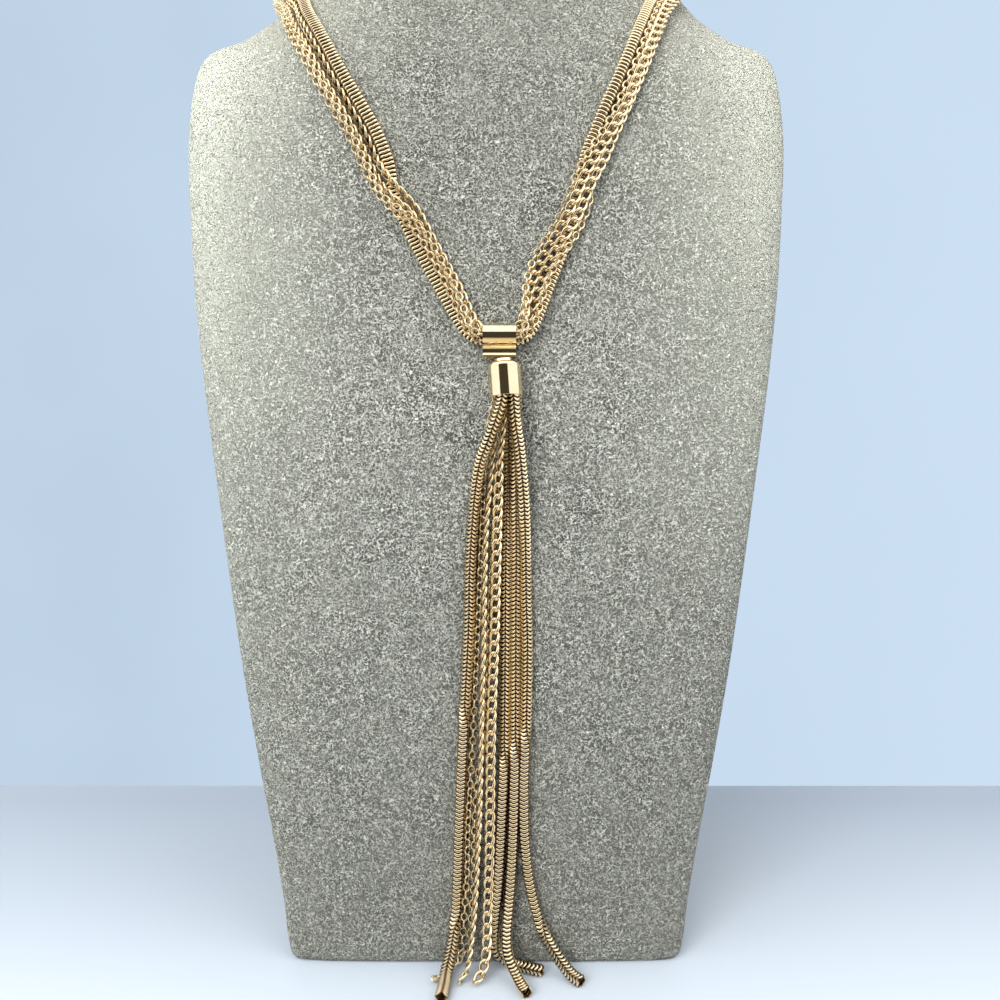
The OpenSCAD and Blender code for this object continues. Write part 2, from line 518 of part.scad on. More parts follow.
// The velvet bust, closed all over
module bust() {
    color("darkseagreen")
    loft([for (s = SECTIONS)
        [for (k = [0:BUST_SIDES - 1]) skin(-180 + k * 360 / BUST_SIDES, s[HEIGHT] * bust_h)]]);
}

// Rounded bar outline in the plane of the bail's side
module bail_outline(r) {
    for (side = [-1, 1]) translate([side * bail_stretch / 2, 0]) circle(r, $fn = 64);
    square([bail_stretch, 2 * r], center = true);
}

// Side view of the bail: a loop on a foot that is hollow along its front and back
module bail_side() {
    difference() {
        union() {
            bail_outline(bail_half_h);
            difference() {
                translate([-foot_d / 2, -bail_half_h - foot_h])
                square([foot_d, foot_h + bail_wall]);
                for (side = [-1, 1])
                    translate([side * (foot_waist / 2 + foot_hollow_r),
                               -bail_half_h - foot_h / 2])
                    circle(foot_hollow_r, $fn = 48);
            }
        }
        bail_outline(bail_bore_r);
    }
}

module slide_bail() {
    color("gold")
    translate(bail_middle)
    rotate([-chest_lean, 0, 0])
    difference() {
        rotate([90, 0, 90]) linear_extrude(bail_w, center = true) bail_side();
        translate([barrel_shift, bail_lift - barrel_lift, -barrel_drop])
        cylinder(r = pin_hole_r, h = pin_seat + foot_gap + seat_gap, $fn = 32);
    }
}

// Places its children in the barrel's frame
module at_barrel() {
    translate(barrel_top)
    rotate([-barrel_lean, 0, 0])
    rotate([0, -barrel_roll, 0])
    children();
}

// Half section of the barrel cap, open below
module barrel_profile() {
    difference() {
        union() {
            translate([0, -collar_h]) square([collar_r, collar_h]);
            translate([0, mouth_z]) square([barrel_r, barrel_h - barrel_shoulder_r]);
            translate([0, -collar_h - barrel_shoulder_r])
            square([barrel_r - barrel_shoulder_r, barrel_shoulder_r]);
            intersection() {
                translate([barrel_r - barrel_shoulder_r, -collar_h - barrel_shoulder_r])
                circle(barrel_shoulder_r, $fn = 48);
                translate([0, -collar_h - barrel_shoulder_r])
                square([barrel_r, barrel_shoulder_r]);
            }
        }
        translate([0, mouth_z - CUT])
        square([barrel_bore_r, barrel_h - barrel_top_wall + CUT]);
        translate([0, mouth_z])
        square([pin_hole_r + swing_gap, barrel_h + collar_h + CUT]);
    }
}

module barrel_cap() {
    color("gold") at_barrel() rotate_extrude($fn = 96) barrel_profile();
}

// Pin through the barrel's top, with its head inside and its end in the foot of the bail
module link_pin() {
    color("goldenrod")
    translate(barrel_top)
    rotate([-chest_lean, 0, 0])
    translate([0, 0, head_z]) {
        cylinder(r = pin_r, h = pin_l, $fn = 32);
        cylinder(r = pin_head_r, h = pin_head_h, $fn = 32);
    }
}

// Plain closed clasp behind the neck
module clasp() {
    color("goldenrod")
    translate([0, lookup(clasp_z - clasp_w / 2, back_table) + skin_gap, clasp_z])
    rotate([-90, 0, 0])
    linear_extrude(clasp_t)
    union() {
        square([clasp_l - 2 * clasp_corner_r, clasp_w], center = true);
        square([clasp_l, clasp_w - 2 * clasp_corner_r], center = true);
        for (x = [-1, 1], z = [-1, 1])
            translate([x * (clasp_l / 2 - clasp_corner_r), z * (clasp_w / 2 - clasp_corner_r)])
            circle(clasp_corner_r, $fn = 32);
    }
}

module neck_snake() { color("gold") strand(neck_route(SNAKE), snake_r); }
module neck_curb_1() { color("goldenrod") strand(neck_route(CURB_1), curb_r); }
module neck_curb_2() { color("goldenrod") strand(neck_route(CURB_2), curb_r); }
module neck_cable_1() { color("peru") strand(neck_route(CABLE_1), cable_r); }
module neck_cable_2() { color("peru") strand(neck_route(CABLE_2), cable_r); }

module tassel_snake(bearing, chest, floor_part) {
    color("gold") strand(tassel_route(bearing, snake_ring_r, chest, floor_part), snake_r);
}

module tassel_snake_a() { tassel_snake(BEARING_A, SNAKE_A_CHEST, SNAKE_A_FLOOR); }
module tassel_snake_b() { tassel_snake(BEARING_B, SNAKE_B_CHEST, SNAKE_B_FLOOR); }
module tassel_snake_c() { tassel_snake(BEARING_C, SNAKE_C_CHEST, SNAKE_C_FLOOR); }
module tassel_snake_d() { tassel_snake(BEARING_D, SNAKE_D_CHEST, SNAKE_D_FLOOR); }

module tassel_curb_front() {
    color("goldenrod") curb_chain(tassel_route(0, 0, CURB_FRONT_CHEST, CURB_FRONT_FLOOR));
}

module tassel_curb_side() {
    color("goldenrod")
    strand(tassel_route(BEARING_CURB_SIDE, curb_ring_r, CURB_SIDE_CHEST, CURB_SIDE_FLOOR), curb_r);
}

module tassel_cable_1() {
    color("peru")
    strand(tassel_route(BEARING_CABLE_1, cable_ring_r, CABLE_1_CHEST, CABLE_1_FLOOR), cable_r);
}

module tassel_cable_2() {
    color("peru")
    strand(tassel_route(BEARING_CABLE_2, cable_ring_r, CABLE_2_CHEST, CABLE_2_FLOOR), cable_r);
}

bust();
slide_bail();
link_pin();
barrel_cap();
clasp();
neck_snake();
neck_curb_1();
neck_curb_2();
neck_cable_1();
neck_cable_2();
tassel_snake_a();
tassel_snake_b();
tassel_snake_c();
tassel_snake_d();
tassel_curb_front();
tassel_curb_side();
tassel_cable_1();
tassel_cable_2();
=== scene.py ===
"""Tassel necklace of snake, curb and cable chains, worn by a plain velvet neck bust."""

import logging
import math
from bisect import bisect_right
from collections.abc import Callable, Sequence
from dataclasses import dataclass
from enum import Enum

import bmesh
import bpy
from mathutils import Matrix, Vector


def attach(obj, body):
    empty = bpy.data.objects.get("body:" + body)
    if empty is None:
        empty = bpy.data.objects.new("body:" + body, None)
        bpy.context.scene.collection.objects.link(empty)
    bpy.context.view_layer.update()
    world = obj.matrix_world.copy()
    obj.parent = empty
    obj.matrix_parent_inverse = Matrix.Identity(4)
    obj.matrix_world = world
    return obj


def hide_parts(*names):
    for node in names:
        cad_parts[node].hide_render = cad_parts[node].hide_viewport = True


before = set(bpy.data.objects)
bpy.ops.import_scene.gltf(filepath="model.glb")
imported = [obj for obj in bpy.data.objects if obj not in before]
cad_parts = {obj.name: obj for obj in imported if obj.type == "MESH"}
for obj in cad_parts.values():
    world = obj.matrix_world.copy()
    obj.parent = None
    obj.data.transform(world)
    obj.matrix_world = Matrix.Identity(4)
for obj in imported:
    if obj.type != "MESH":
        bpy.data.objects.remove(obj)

log = logging.getLogger("necklace")

# Lengths are in millimetres until a mesh is finished, which brings it to metres.
# Materials and the studio are in metres.
MM = 0.001

Place = tuple[float, float]
Places = tuple[Place, Place, Place, Place, Place]
Row = tuple[float, float, float]
Colour = tuple[float, float, float]
Shape = bmesh.types.BMesh
Piece = bpy.types.Object
Socket = bpy.types.NodeSocket

# Sizes that the CAD source names, repeated here.
BUST_H, BUST_W, BUST_D = 330.0, 189.0, 125.0
SNAKE_W, CURB_W, CABLE_W = 2.7, 2.2, 1.9
LINK_W, LINK_WIRE, LINK_PITCH, LINK_PLAY, LINK_TWIST = 3.4, 0.7, 3.4, 0.3, 45.0
BAIL_W, BAIL_BORE_R, BAIL_STRETCH, BAIL_WALL = 9.9, 2.9, 2.4, 0.5
FOOT_H, FOOT_D, FOOT_WAIST, FOOT_HOLLOW_R = 3.3, 4.0, 2.4, 2.2
BARREL_R, BARREL_H, BARREL_WALL, BARREL_TOP_WALL = 5.05, 10.3, 0.5, 1.0
BARREL_SHOULDER_R, COLLAR_R, COLLAR_H = 1.3, 2.75, 1.0
BARREL_ROLL, BARREL_EXTRA_LEAN, BARREL_SHIFT = 4.0, 3.0, 1.2
PIN_R, PIN_HEAD_R, PIN_HEAD_H = 0.6, 1.4, 0.6
CLASP_L, CLASP_W, CLASP_T, CLASP_CORNER_R = 16.0, 13.4, 3.6, 2.0
BAIL_X, BAIL_Z, NAPE_Z = 4.2, 188.5, 310.0
SKIN_GAP, SEAT_GAP, FOOT_GAP, SWING_GAP, CLASP_GAP = 0.4, 0.1, 0.4, 0.2, 0.3

# Sizes of the dressed part alone: where a strand's first link stands, how a curb link
# differs from the CAD's, the angle in degrees from which an edge of a fitting is rounded,
# and the distance within which places of a turned fitting are one.
FIRST_LINK = 0.4
LINK_EXTRA_WIRE, LINK_EXTRA_W, LINK_FLAT = 0.38, 0.05, 0.8
SHARP_ANGLE = 40.0
WELD = 0.001

# Sections of the bust. Columns: height as a share of BUST_H, half width as a share of
# BUST_W / 2, front, depth of the rounded front edge and back as shares of BUST_D, and the
# squareness of the front and of the back.
SECTIONS = (
    (0, 0.617, 0.006, 0.032, 0.840, 4.5, 2.3),
    (0.006, 0.632, 0.000, 0.036, 0.848, 4.5, 2.3),
    (0.052, 0.662, 0.019, 0.056, 0.856, 3.8, 2.3),
    (0.103, 0.698, 0.038, 0.072, 0.864, 3.4, 2.3),
    (0.176, 0.752, 0.066, 0.088, 0.880, 3.1, 2.3),
    (0.264, 0.810, 0.098, 0.104, 0.896, 2.9, 2.3),
    (0.355, 0.858, 0.131, 0.112, 0.912, 2.8, 2.3),
    (0.448, 0.904, 0.166, 0.120, 0.928, 2.8, 2.3),
    (0.545, 0.950, 0.204, 0.128, 0.944, 2.7, 2.3),
    (0.621, 0.977, 0.234, 0.132, 0.960, 2.7, 2.3),
    (0.697, 0.993, 0.266, 0.136, 0.976, 2.7, 2.3),
    (0.748, 1.000, 0.291, 0.136, 0.984, 2.6, 2.3),
    (0.782, 0.996, 0.309, 0.138, 0.992, 2.6, 2.2),
    (0.809, 0.989, 0.330, 0.144, 0.992, 2.6, 2.2),
    (0.827, 0.981, 0.347, 0.154, 0.996, 2.5, 2.2),
    (0.839, 0.968, 0.360, 0.168, 1.000, 2.5, 2.2),
    (0.848, 0.944, 0.371, 0.184, 1.000, 2.4, 2.2),
    (0.854, 0.888, 0.378, 0.196, 1.000, 2.4, 2.1),
    (0.862, 0.846, 0.388, 0.208, 1.000, 2.3, 2.1),
    (0.873, 0.800, 0.403, 0.224, 1.000, 2.3, 2.1),
    (0.888, 0.756, 0.426, 0.248, 1.000, 2.2, 2.1),
    (0.906, 0.716, 0.454, 0.264, 0.996, 2.2, 2.0),
    (0.921, 0.680, 0.477, 0.272, 0.992, 2.1, 2.0),
    (0.939, 0.632, 0.499, 0.268, 0.992, 2.1, 2.0),
    (0.961, 0.590, 0.518, 0.256, 0.984, 2.1, 2.0),
    (0.985, 0.563, 0.532, 0.248, 0.980, 2.1, 2.0),
    (0.995, 0.526, 0.548, 0.232, 0.960, 2.1, 2.0),
    (1, 0.468, 0.576, 0.208, 0.928, 2.1, 2.0),
)

# Places of the five neck strands across the bundle, in the order of NeckStrand. Each
# pair is the distance from the base line outwards, and the distance from the velvet.
LEFT_CLASP = ((0, 2.3), (2.6, 2.3), (5.0, 2.3), (7.2, 2.3), (9.4, 2.3))
LEFT_NAPE = ((0, 1.7), (2.75, 1.6), (5.3, 1.6), (7.5, 1.4), (8.9, 3.3))
LEFT_UPPER = ((-0.45, 2.0), (2.75, 1.6), (5.3, 1.6), (7.6, 1.5), (6.45, 3.55))
LEFT_CROSS_1 = ((-0.3, 1.9), (2.1, 3.8), (4.6, 1.7), (6.9, 1.4), (5.7, 3.75))
LEFT_CROSS_2 = ((0, 1.7), (-0.2, 4.45), (3.1, 2.9), (5.4, 1.5), (4.5, 5.05))
LEFT_CROSS_3 = ((0, 1.7), (-3.4, 2.9), (0.3, 4.6), (3.0, 2.5), (2.5, 5.8))
LEFT_CROSS_4 = ((0, 1.7), (-5.0, 1.5), (-2.8, 3.3), (0.6, 4.4), (-1.2, 6.1))
LEFT_CROSS_5 = ((0, 1.7), (-5.3, 1.5), (-3.0, 2.5), (-1.7, 4.6), (-3.9, 4.9))
LEFT_CROSS_6 = ((0, 1.7), (-5.3, 1.5), (-3.0, 2.4), (-2.2, 4.6), (-4.3, 4.7))
LEFT_LOWER_1 = ((0, 1.7), (-5.3, 1.5), (-3.0, 2.3), (-2.2, 4.5), (-4.3, 4.7))
LEFT_LOWER_2 = ((0.2, 2.0), (-4.9, 2.9), (-2.5, 2.2), (-1.8, 4.5), (-3.85, 5.05))
LEFT_LOWER_3 = ((0.7, 2.6), (-3.8, 4.4), (-2.1, 2.6), (-0.6, 5.1), (-2.5, 6.3))
LEFT_LOWER_4 = ((1.1, 3.2), (-2.6, 5.6), (-1.7, 3.2), (0.6, 5.85), (-0.8, 7.5))
BESIDE_BAIL = ((1.35, 3.5), (-1.6, 6.1), (-1.4, 3.6), (1.4, 6.0), (0.1, 7.9))
RIGHT_LOWER_4 = ((1.1, 3.2), (-2.6, 5.6), (-1.7, 3.2), (0.9, 5.75), (-1.4, 7.75))
RIGHT_LOWER_3 = ((0.7, 2.6), (-3.8, 4.4), (-2.1, 2.6), (0.2, 5.15), (-3.6, 6.9))
RIGHT_LOWER_2 = ((0.2, 2.0), (-4.9, 2.7), (-2.55, 1.95), (-0.6, 4.5), (-6.2, 4.6))
RIGHT_LOWER_1 = ((0, 1.7), (-5.2, 1.5), (-2.7, 1.6), (-0.9, 4.1), (-7.35, 2.3))
RIGHT_CROSS_6 = ((0, 1.7), (-4.6, 1.5), (-2.3, 3.1), (0.3, 4.35), (-6.85, 1.4))
RIGHT_CROSS_5 = ((0, 1.7), (-3.1, 2.4), (-0.6, 4.5), (2.2, 3.4), (-5.3, 1.4))
RIGHT_CROSS_4 = ((0, 1.7), (-1.6, 3.95), (1.6, 4.1), (3.6, 1.6), (-3.6, 1.8))
RIGHT_CROSS_3 = ((0, 1.7), (0, 4.45), (2.7, 3.2), (4.3, 1.3), (-2.3, 3.2))
RIGHT_CROSS_2 = ((0, 1.7), (1.1, 4.2), (4.0, 3.7), (3.7, 1.3), (-1.3, 3.9))
RIGHT_CROSS_1 = ((0, 1.7), (2.9, 4.0), (5.7, 2.7), (3.9, 1.3), (0.6, 4.3))
RIGHT_CROSS_0 = ((0, 1.7), (4.2, 3.9), (5.6, 1.9), (3.1, 1.3), (1.9, 3.8))
RIGHT_UPPER = ((-0.45, 2.0), (4.9, 4.0), (5.5, 1.65), (2.5, 1.4), (2.7, 3.5))
RIGHT_NAPE_2 = ((0, 1.7), (5.8, 3.7), (6.9, 1.5), (2.5, 1.3), (3.6, 3.1))
RIGHT_NAPE_1 = ((0, 1.9), (6.6, 3.3), (8.6, 1.7), (2.5, 1.6), (4.4, 2.7))
RIGHT_CLASP = ((0, 2.3), (6.9, 2.3), (9.3, 2.3), (2.45, 2.3), (4.6, 2.3))
# In the bail's bore the second number of a pair counts from the middle of the bore.
IN_BAIL = ((1.4, -1.45), (-1.5, 1.2), (-1.3, -1.3), (1.45, 1.0), (0.2, 2.95))


def held(places: Places, *spots: Place) -> tuple[tuple[float, float, Places], ...]:
    """Returns rows of the base line at spots where the strands keep their places."""
    return tuple((across, z, places) for across, z in spots)


# Base line of the neck strands. Behind the neck a row is the bearing about the bust and the
# height, and on the chest the sideways place and the height. Then come the places.
LEFT_NECK = (
    (106, 310, LEFT_NAPE),
    *held(
        LEFT_UPPER, (115, 310), (125, 310), (135, 309.8), (145, 309.5), (154, 309),
        (163, 308.3), (171, 307.3), (180, 305.8), (-173, 304), (-166, 302), (-159, 299.8),
        (-152, 297.5),
    ),
)
LEFT_CHEST = (
    *held(
        LEFT_UPPER, (-58.5, 294), (-56, 288), (-52.6, 282), (-50.5, 278.5), (-48.4, 275),
        (-44.4, 268), (-39.2, 259.5), (-34.1, 251), (-31.2, 244.5),
    ),
    (-29.2, 239, LEFT_CROSS_1), (-28.2, 234, LEFT_CROSS_2), (-27, 229, LEFT_CROSS_3),
    (-24.8, 224, LEFT_CROSS_4), (-22.2, 218.5, LEFT_CROSS_5), (-19.2, 212.8, LEFT_CROSS_6),
    (-16, 207, LEFT_LOWER_1), (-12, 200.3, LEFT_LOWER_2), (-8.3, 194.5, LEFT_LOWER_3),
    (-5.2, 190.6, LEFT_LOWER_4), (-2.6, 188.8, BESIDE_BAIL),
)
RIGHT_CHEST = (
    (11, 188.8, BESIDE_BAIL), (13.2, 190.8, RIGHT_LOWER_4), (15.3, 194.5, RIGHT_LOWER_3),
    (17.7, 200, RIGHT_LOWER_2), (20.3, 206.5, RIGHT_LOWER_1), (22.7, 212.5, RIGHT_CROSS_6),
    (24.7, 218.5, RIGHT_CROSS_5), (26.2, 224.5, RIGHT_CROSS_4), (27.4, 230.5, RIGHT_CROSS_3),
    (28.7, 236.5, RIGHT_CROSS_2), (30.3, 243, RIGHT_CROSS_1), (33, 249.5, RIGHT_CROSS_0),
    *held(
        RIGHT_UPPER, (36.1, 256), (39.8, 264), (43.4, 272), (46.4, 279), (49.1, 285.5),
        (51.9, 292),
    ),
)
RIGHT_NECK = (
    *held(
        RIGHT_UPPER, (-36, 298.5), (-29, 302), (-22, 304.8), (-15, 307), (-8, 308.6),
        (0, 309.8), (9, 310.5), (17, 310.8), (26, 310.9), (35, 310.8), (45, 310.5),
        (55, 310.2),
    ),
    (65, 310, RIGHT_NAPE_2), (74, 310, RIGHT_NAPE_1),
)

# Tassel strands. A row on the chest is the sideways place, the height, and the distance from
# the velvet. A row near the floor is the sideways place, the distance behind the front edge of
# the base, and the height.
SNAKE_A_CHEST = (
    (3.4, 164, 8.5), (0.8, 157, 7.2), (-1.7, 150, 5.1), (-3.4, 138, 2.4), (-4.6, 120, 1.8),
    (-5, 101, 1.7), (-6, 82, 1.7), (-6.8, 67, 1.7), (-7.8, 45, 1.7), (-8.5, 25, 1.8),
    (-9, 15, 2.2),
)
SNAKE_A_FLOOR = ((-10, -3.5, 7.5), (-11.5, -10, 2.6), (-12, -16, 1.5), (-12.5, -21, 1.5))
SNAKE_B_CHEST = (
    (7, 163, 2.8), (6.9, 152, 2), (6.6, 140, 1.7), (6.2, 124, 1.7), (6, 96, 1.7),
    (5.8, 74, 1.7), (5.6, 60, 1.7), (5, 46, 1.7), (4, 27, 1.7), (2.8, 13, 1.8),
)
SNAKE_B_FLOOR = (
    (2.8, -0.9, 7), (4.6, -1.8, 3.4), (8.5, -3.2, 1.5), (13, -5.5, 1.5), (18, -7.5, 1.5),
)
SNAKE_C_CHEST = (
    (8.9, 163, 5.2), (9, 154, 4.3), (9.1, 140, 3.4), (9.2, 124, 2), (9.1, 109, 1.7),
    (9, 81, 1.7), (8.9, 64, 1.7), (8.4, 42, 1.7), (7.7, 27, 1.8), (7, 18, 2.4),
)
SNAKE_C_FLOOR = (
    (6.4, -3.5, 11), (6.8, -7.5, 6.5), (9.2, -12, 3), (11, -16, 1.6), (12.5, -19.5, 1.5),
)
SNAKE_D_CHEST = (
    (8.9, 163, 8.2), (10.2, 154, 7), (11.5, 140, 5.1), (12.1, 124, 2.2), (12.3, 109, 1.7),
    (12.6, 96, 1.7), (12.3, 74, 1.7), (11.7, 58, 1.7), (11.7, 43, 1.7), (12.3, 33, 1.7),
    (13.5, 24, 1.8), (15.8, 15, 2.4),
)
SNAKE_D_FLOOR = ((18.6, -2.2, 9), (22.3, -6, 4.5), (25.5, -9.8, 1.9), (28.5, -13, 1.5))
CURB_FRONT_CHEST = (
    (5.3, 160, 6), (4.4, 152, 5.2), (3.8, 140, 4.1), (3.2, 118, 3.4), (2.8, 101, 3.3),
    (2, 81, 3.3), (1.6, 67, 3.3), (1.4, 50, 3.3), (1.2, 36, 3.4), (0.9, 25, 3.6),
    (0.6, 16, 4.1),
)
CURB_FRONT_FLOOR = (
    (0.5, -4.3, 10.2), (0.3, -6.3, 6.5), (-0.3, -8.6, 3.7), (-1.5, -11, 1.9), (-3.8, -14, 0.8),
)
CURB_SIDE_CHEST = (
    (3, 163, 4.2), (2.5, 155, 3.2), (1.5, 145, 3), (0.3, 132, 3.1), (-0.2, 117, 3.1),
    (-0.6, 96, 3.2), (-1.2, 76, 3.4), (-1.4, 62, 3.6), (-1.7, 50, 3.5), (-2, 41, 3.4),
    (-2.4, 34, 3.4), (-2.7, 27, 3.5), (-3.3, 17, 3.9),
)
CURB_SIDE_FLOOR = ((-4.2, -4, 9), (-5.2, -8.5, 3.2), (-7.2, -12, 1.2), (-8.6, -15, 1.2))
CABLE_1_CHEST = (
    (1.4, 163, 5.9), (0.3, 155, 4), (-0.6, 145, 1.6), (-1, 132, 1.3), (-1.7, 117, 1.3),
    (-2.4, 100, 1.3), (-3.2, 82, 1.3), (-4, 64, 1.3), (-5, 48, 1.3), (-5.4, 40, 1.3),
    (-5.6, 27, 1.4), (-6.2, 18, 1.6),
)
CABLE_1_FLOOR = ((-6.9, -0.8, 9.5), (-8.4, -3.4, 4.3), (-11.4, -6.9, 1.1), (-15.8, -11.8, 1.1))
CABLE_2_CHEST = (
    (4.6, 163, 2.3), (4.4, 152, 1.4), (3.4, 140, 1.3), (2, 120, 1.3), (1.2, 101, 1.3),
    (0.6, 82, 1.3), (-0.8, 66, 1.3), (-2.2, 57, 1.3), (-3, 48, 1.3), (-3.4, 38, 1.3),
    (-3.4, 28, 1.3), (-4, 17, 1.3),
)
CABLE_2_FLOOR = ((-5, -0.2, 8), (-6.6, -0.9, 3.4), (-9.6, -2.2, 1.1), (-14.5, -4, 1.1))

VIEWER = Vector((0, -1, 0))


def unit(v: Vector) -> Vector:
    """Returns the direction of v."""
    return v.normalized()


def sign_power(value: float, power: float) -> float:
    """Returns a value's power that keeps its sign."""
    return math.copysign(abs(value) ** power, value) if value else 0.0


def share_of(value: float) -> float:
    """Returns a value kept between 0 and 1."""
    return min(max(value, 0.0), 1.0)


def stretch_of(at: Sequence[float], x: float) -> tuple[int, float]:
    """Returns the stretch of a rising list that holds x, and the share of x in it."""
    i = min(max(bisect_right(at, x) - 1, 0), len(at) - 2)
    return i, (x - at[i]) / (at[i + 1] - at[i])


def heading(points: Sequence[Vector], i: int) -> Vector:
    """Returns the direction in which a route runs at one of its points."""
    return unit(points[min(i + 1, len(points) - 1)] - points[max(i - 1, 0)])


class Curve:
    """A value that follows a height or a distance through chosen rows."""

    def __init__(self, at: Sequence[float], values: Sequence[float]) -> None:
        """Works out the slope at each row.

        Args:
            at: the height or the distance of each row.
            values: the value of each row.
        """
        self.at = list(at)
        self.values = list(values)
        steps = [
            (b - a) / (t - s)
            for s, t, a, b in zip(self.at, self.at[1:], self.values, self.values[1:])
        ]
        inner = [2 * a * b / (a + b) if a * b > 0 else 0.0 for a, b in zip(steps, steps[1:])]
        self.slopes = [steps[0], *inner, steps[-1]]

    def straight(self, x: float) -> float:
        """Returns the value between two rows in a straight line, as the CAD has it."""
        i, f = stretch_of(self.at, x)
        return self.values[i] + (self.values[i + 1] - self.values[i]) * share_of(f)

    def rounded(self, x: float) -> float:
        """Finds the value on a smooth curve through the rows that never overshoots.

        Args:
            x: the height or the distance.

        Returns:
            The value.
        """
        i, f = stretch_of(self.at, x)
        f = share_of(f)
        g = 1 - f
        return (
            self.values[i] * (1 + 2 * f) * g * g
            + self.values[i + 1] * (1 + 2 * g) * f * f
            + (self.slopes[i] * g - self.slopes[i + 1] * f) * f * g * (self.at[i + 1] - self.at[i])
        )


class Skin:
    """The velvet surface of the bust, in millimetres."""

    SLOPE_STEP = 3.0
    TURN_STEP = 3.0

    def __init__(self) -> None:
        """Builds the curves of the section table."""
        at = [row[0] * BUST_H for row in SECTIONS]
        self.base_middle = (SECTIONS[0][2] + SECTIONS[0][4]) / 2 * BUST_D
        self.half = Curve(at, [row[1] * BUST_W / 2 for row in SECTIONS])
        self.front = Curve(at, [row[2] * BUST_D - self.base_middle for row in SECTIONS])
        self.edge = Curve(at, [row[3] * BUST_D for row in SECTIONS])
        self.back = Curve(at, [row[4] * BUST_D - self.base_middle for row in SECTIONS])
        self.square_front = Curve(at, [row[5] for row in SECTIONS])
        self.square_back = Curve(at, [row[6] for row in SECTIONS])

    def point(self, bearing: float, z: float, rounded: bool = False) -> Vector:
        """Finds a point of the skin.

        Args:
            bearing: degrees, from -180 at the left over -90 in front and 90 behind.
            z: height.
            rounded: whether the sections blend smoothly, as in the real velvet.

        Returns:
            The point.
        """
        pick = Curve.rounded if rounded else Curve.straight
        cos, sin = math.cos(math.radians(bearing)), math.sin(math.radians(bearing))
        cos = 0.0 if abs(cos) < 1e-9 else cos
        sin = 0.0 if abs(sin) < 1e-9 else sin
        front, edge, back = pick(self.front, z), pick(self.edge, z), pick(self.back, z)
        power = 2 / pick(self.square_front if sin < 0 else self.square_back, z)
        reach = edge if sin < 0 else back - front - edge
        return Vector((
            pick(self.half, z) * sign_power(cos, power),
            front + edge + reach * sign_power(sin, power),
            z,
        ))

    def outward(self, bearing: float, z: float) -> Vector:
        """Finds the direction away from the velvet.

        Args:
            bearing: degrees about the bust.
            z: height.

        Returns:
            The direction.
        """
        turn = self.point(bearing + self.TURN_STEP, z) - self.point(bearing - self.TURN_STEP, z)
        rise = self.point(bearing, z + self.SLOPE_STEP) - self.point(bearing, z - self.SLOPE_STEP)
        return unit(turn.cross(rise))

    def _turn_to(self, x: float, z: float, square: Curve) -> float:
        """Returns the degrees from the right to a sideways place, by the section's squareness."""
        share = (abs(x) / self.half.straight(z)) ** (square.straight(z) / 2)
        return math.degrees(math.acos(math.copysign(share, x)))

    def front_bearing(self, x: float, z: float) -> float:
        """Returns the bearing of a sideways place on the front."""
        return -self._turn_to(x, z, self.square_front)

    def back_bearing(self, x: float, z: float) -> float:
        """Returns the bearing of a sideways place on the back."""
        return self._turn_to(x, z, self.square_back)

    def over_chest(self, x: float, z: float, lift: float) -> Vector:
        """Returns a point in front of the chest, at a distance from the velvet."""
        bearing = self.front_bearing(x, z)
        return self.point(bearing, z) + self.outward(bearing, z) * lift


SKIN = Skin()


def leaned(v: Sequence[float], lean: float, roll: float) -> Vector:
    """Returns v leaned back about X, after a roll about Y, both in degrees."""
    return Matrix.Rotation(math.radians(-lean), 3, "X") @ (
        Matrix.Rotation(math.radians(-roll), 3, "Y") @ Vector(v)
    )


class Hanger:
    """Where the bail and the barrel hang on the chest, in millimetres."""

    def __init__(self) -> None:
        """Works the places out from the sizes, as the CAD does."""
        bail_half_h = BAIL_BORE_R + BAIL_WALL
        self.bail_lift = bail_half_h + BAIL_STRETCH / 2 + SKIN_GAP
        out = SKIN.outward(SKIN.front_bearing(BAIL_X, BAIL_Z), BAIL_Z)
        self.chest_lean = math.degrees(math.asin(out.z))
        self.bail_middle = SKIN.over_chest(BAIL_X, BAIL_Z, self.bail_lift)
        drop = bail_half_h + FOOT_H + FOOT_GAP
        shift = (BARREL_SHIFT, self.bail_lift - BARREL_R - SKIN_GAP, -drop)
        self.barrel_top = self.bail_middle + leaned(shift, self.chest_lean, 0)
        self.barrel_lean = self.chest_lean + BARREL_EXTRA_LEAN
        self.head_z = -(COLLAR_H + BARREL_TOP_WALL + 2 * SEAT_GAP + PIN_HEAD_H)
        self.strand_top = self.head_z - 2 * SEAT_GAP
        self.mouth_z = -(COLLAR_H + BARREL_H)

    def in_barrel(self, v: Sequence[float]) -> Vector:
        """Returns the place of a point that is given in the barrel's own coordinates."""
        return self.barrel_top + leaned(v, self.barrel_lean, BARREL_ROLL)

    def barrel_matrix(self) -> Matrix:
        """Returns the barrel's place and turn."""
        lean = Matrix.Rotation(math.radians(-self.barrel_lean), 4, "X")
        roll = Matrix.Rotation(math.radians(-BARREL_ROLL), 4, "Y")
        return Matrix.Translation(self.barrel_top) @ lean @ roll

    def on_chest(self, middle: Vector) -> Matrix:
        """Returns a place with the chest's lean."""
        return Matrix.Translation(middle) @ Matrix.Rotation(math.radians(-self.chest_lean), 4, "X")


HANGER = Hanger()


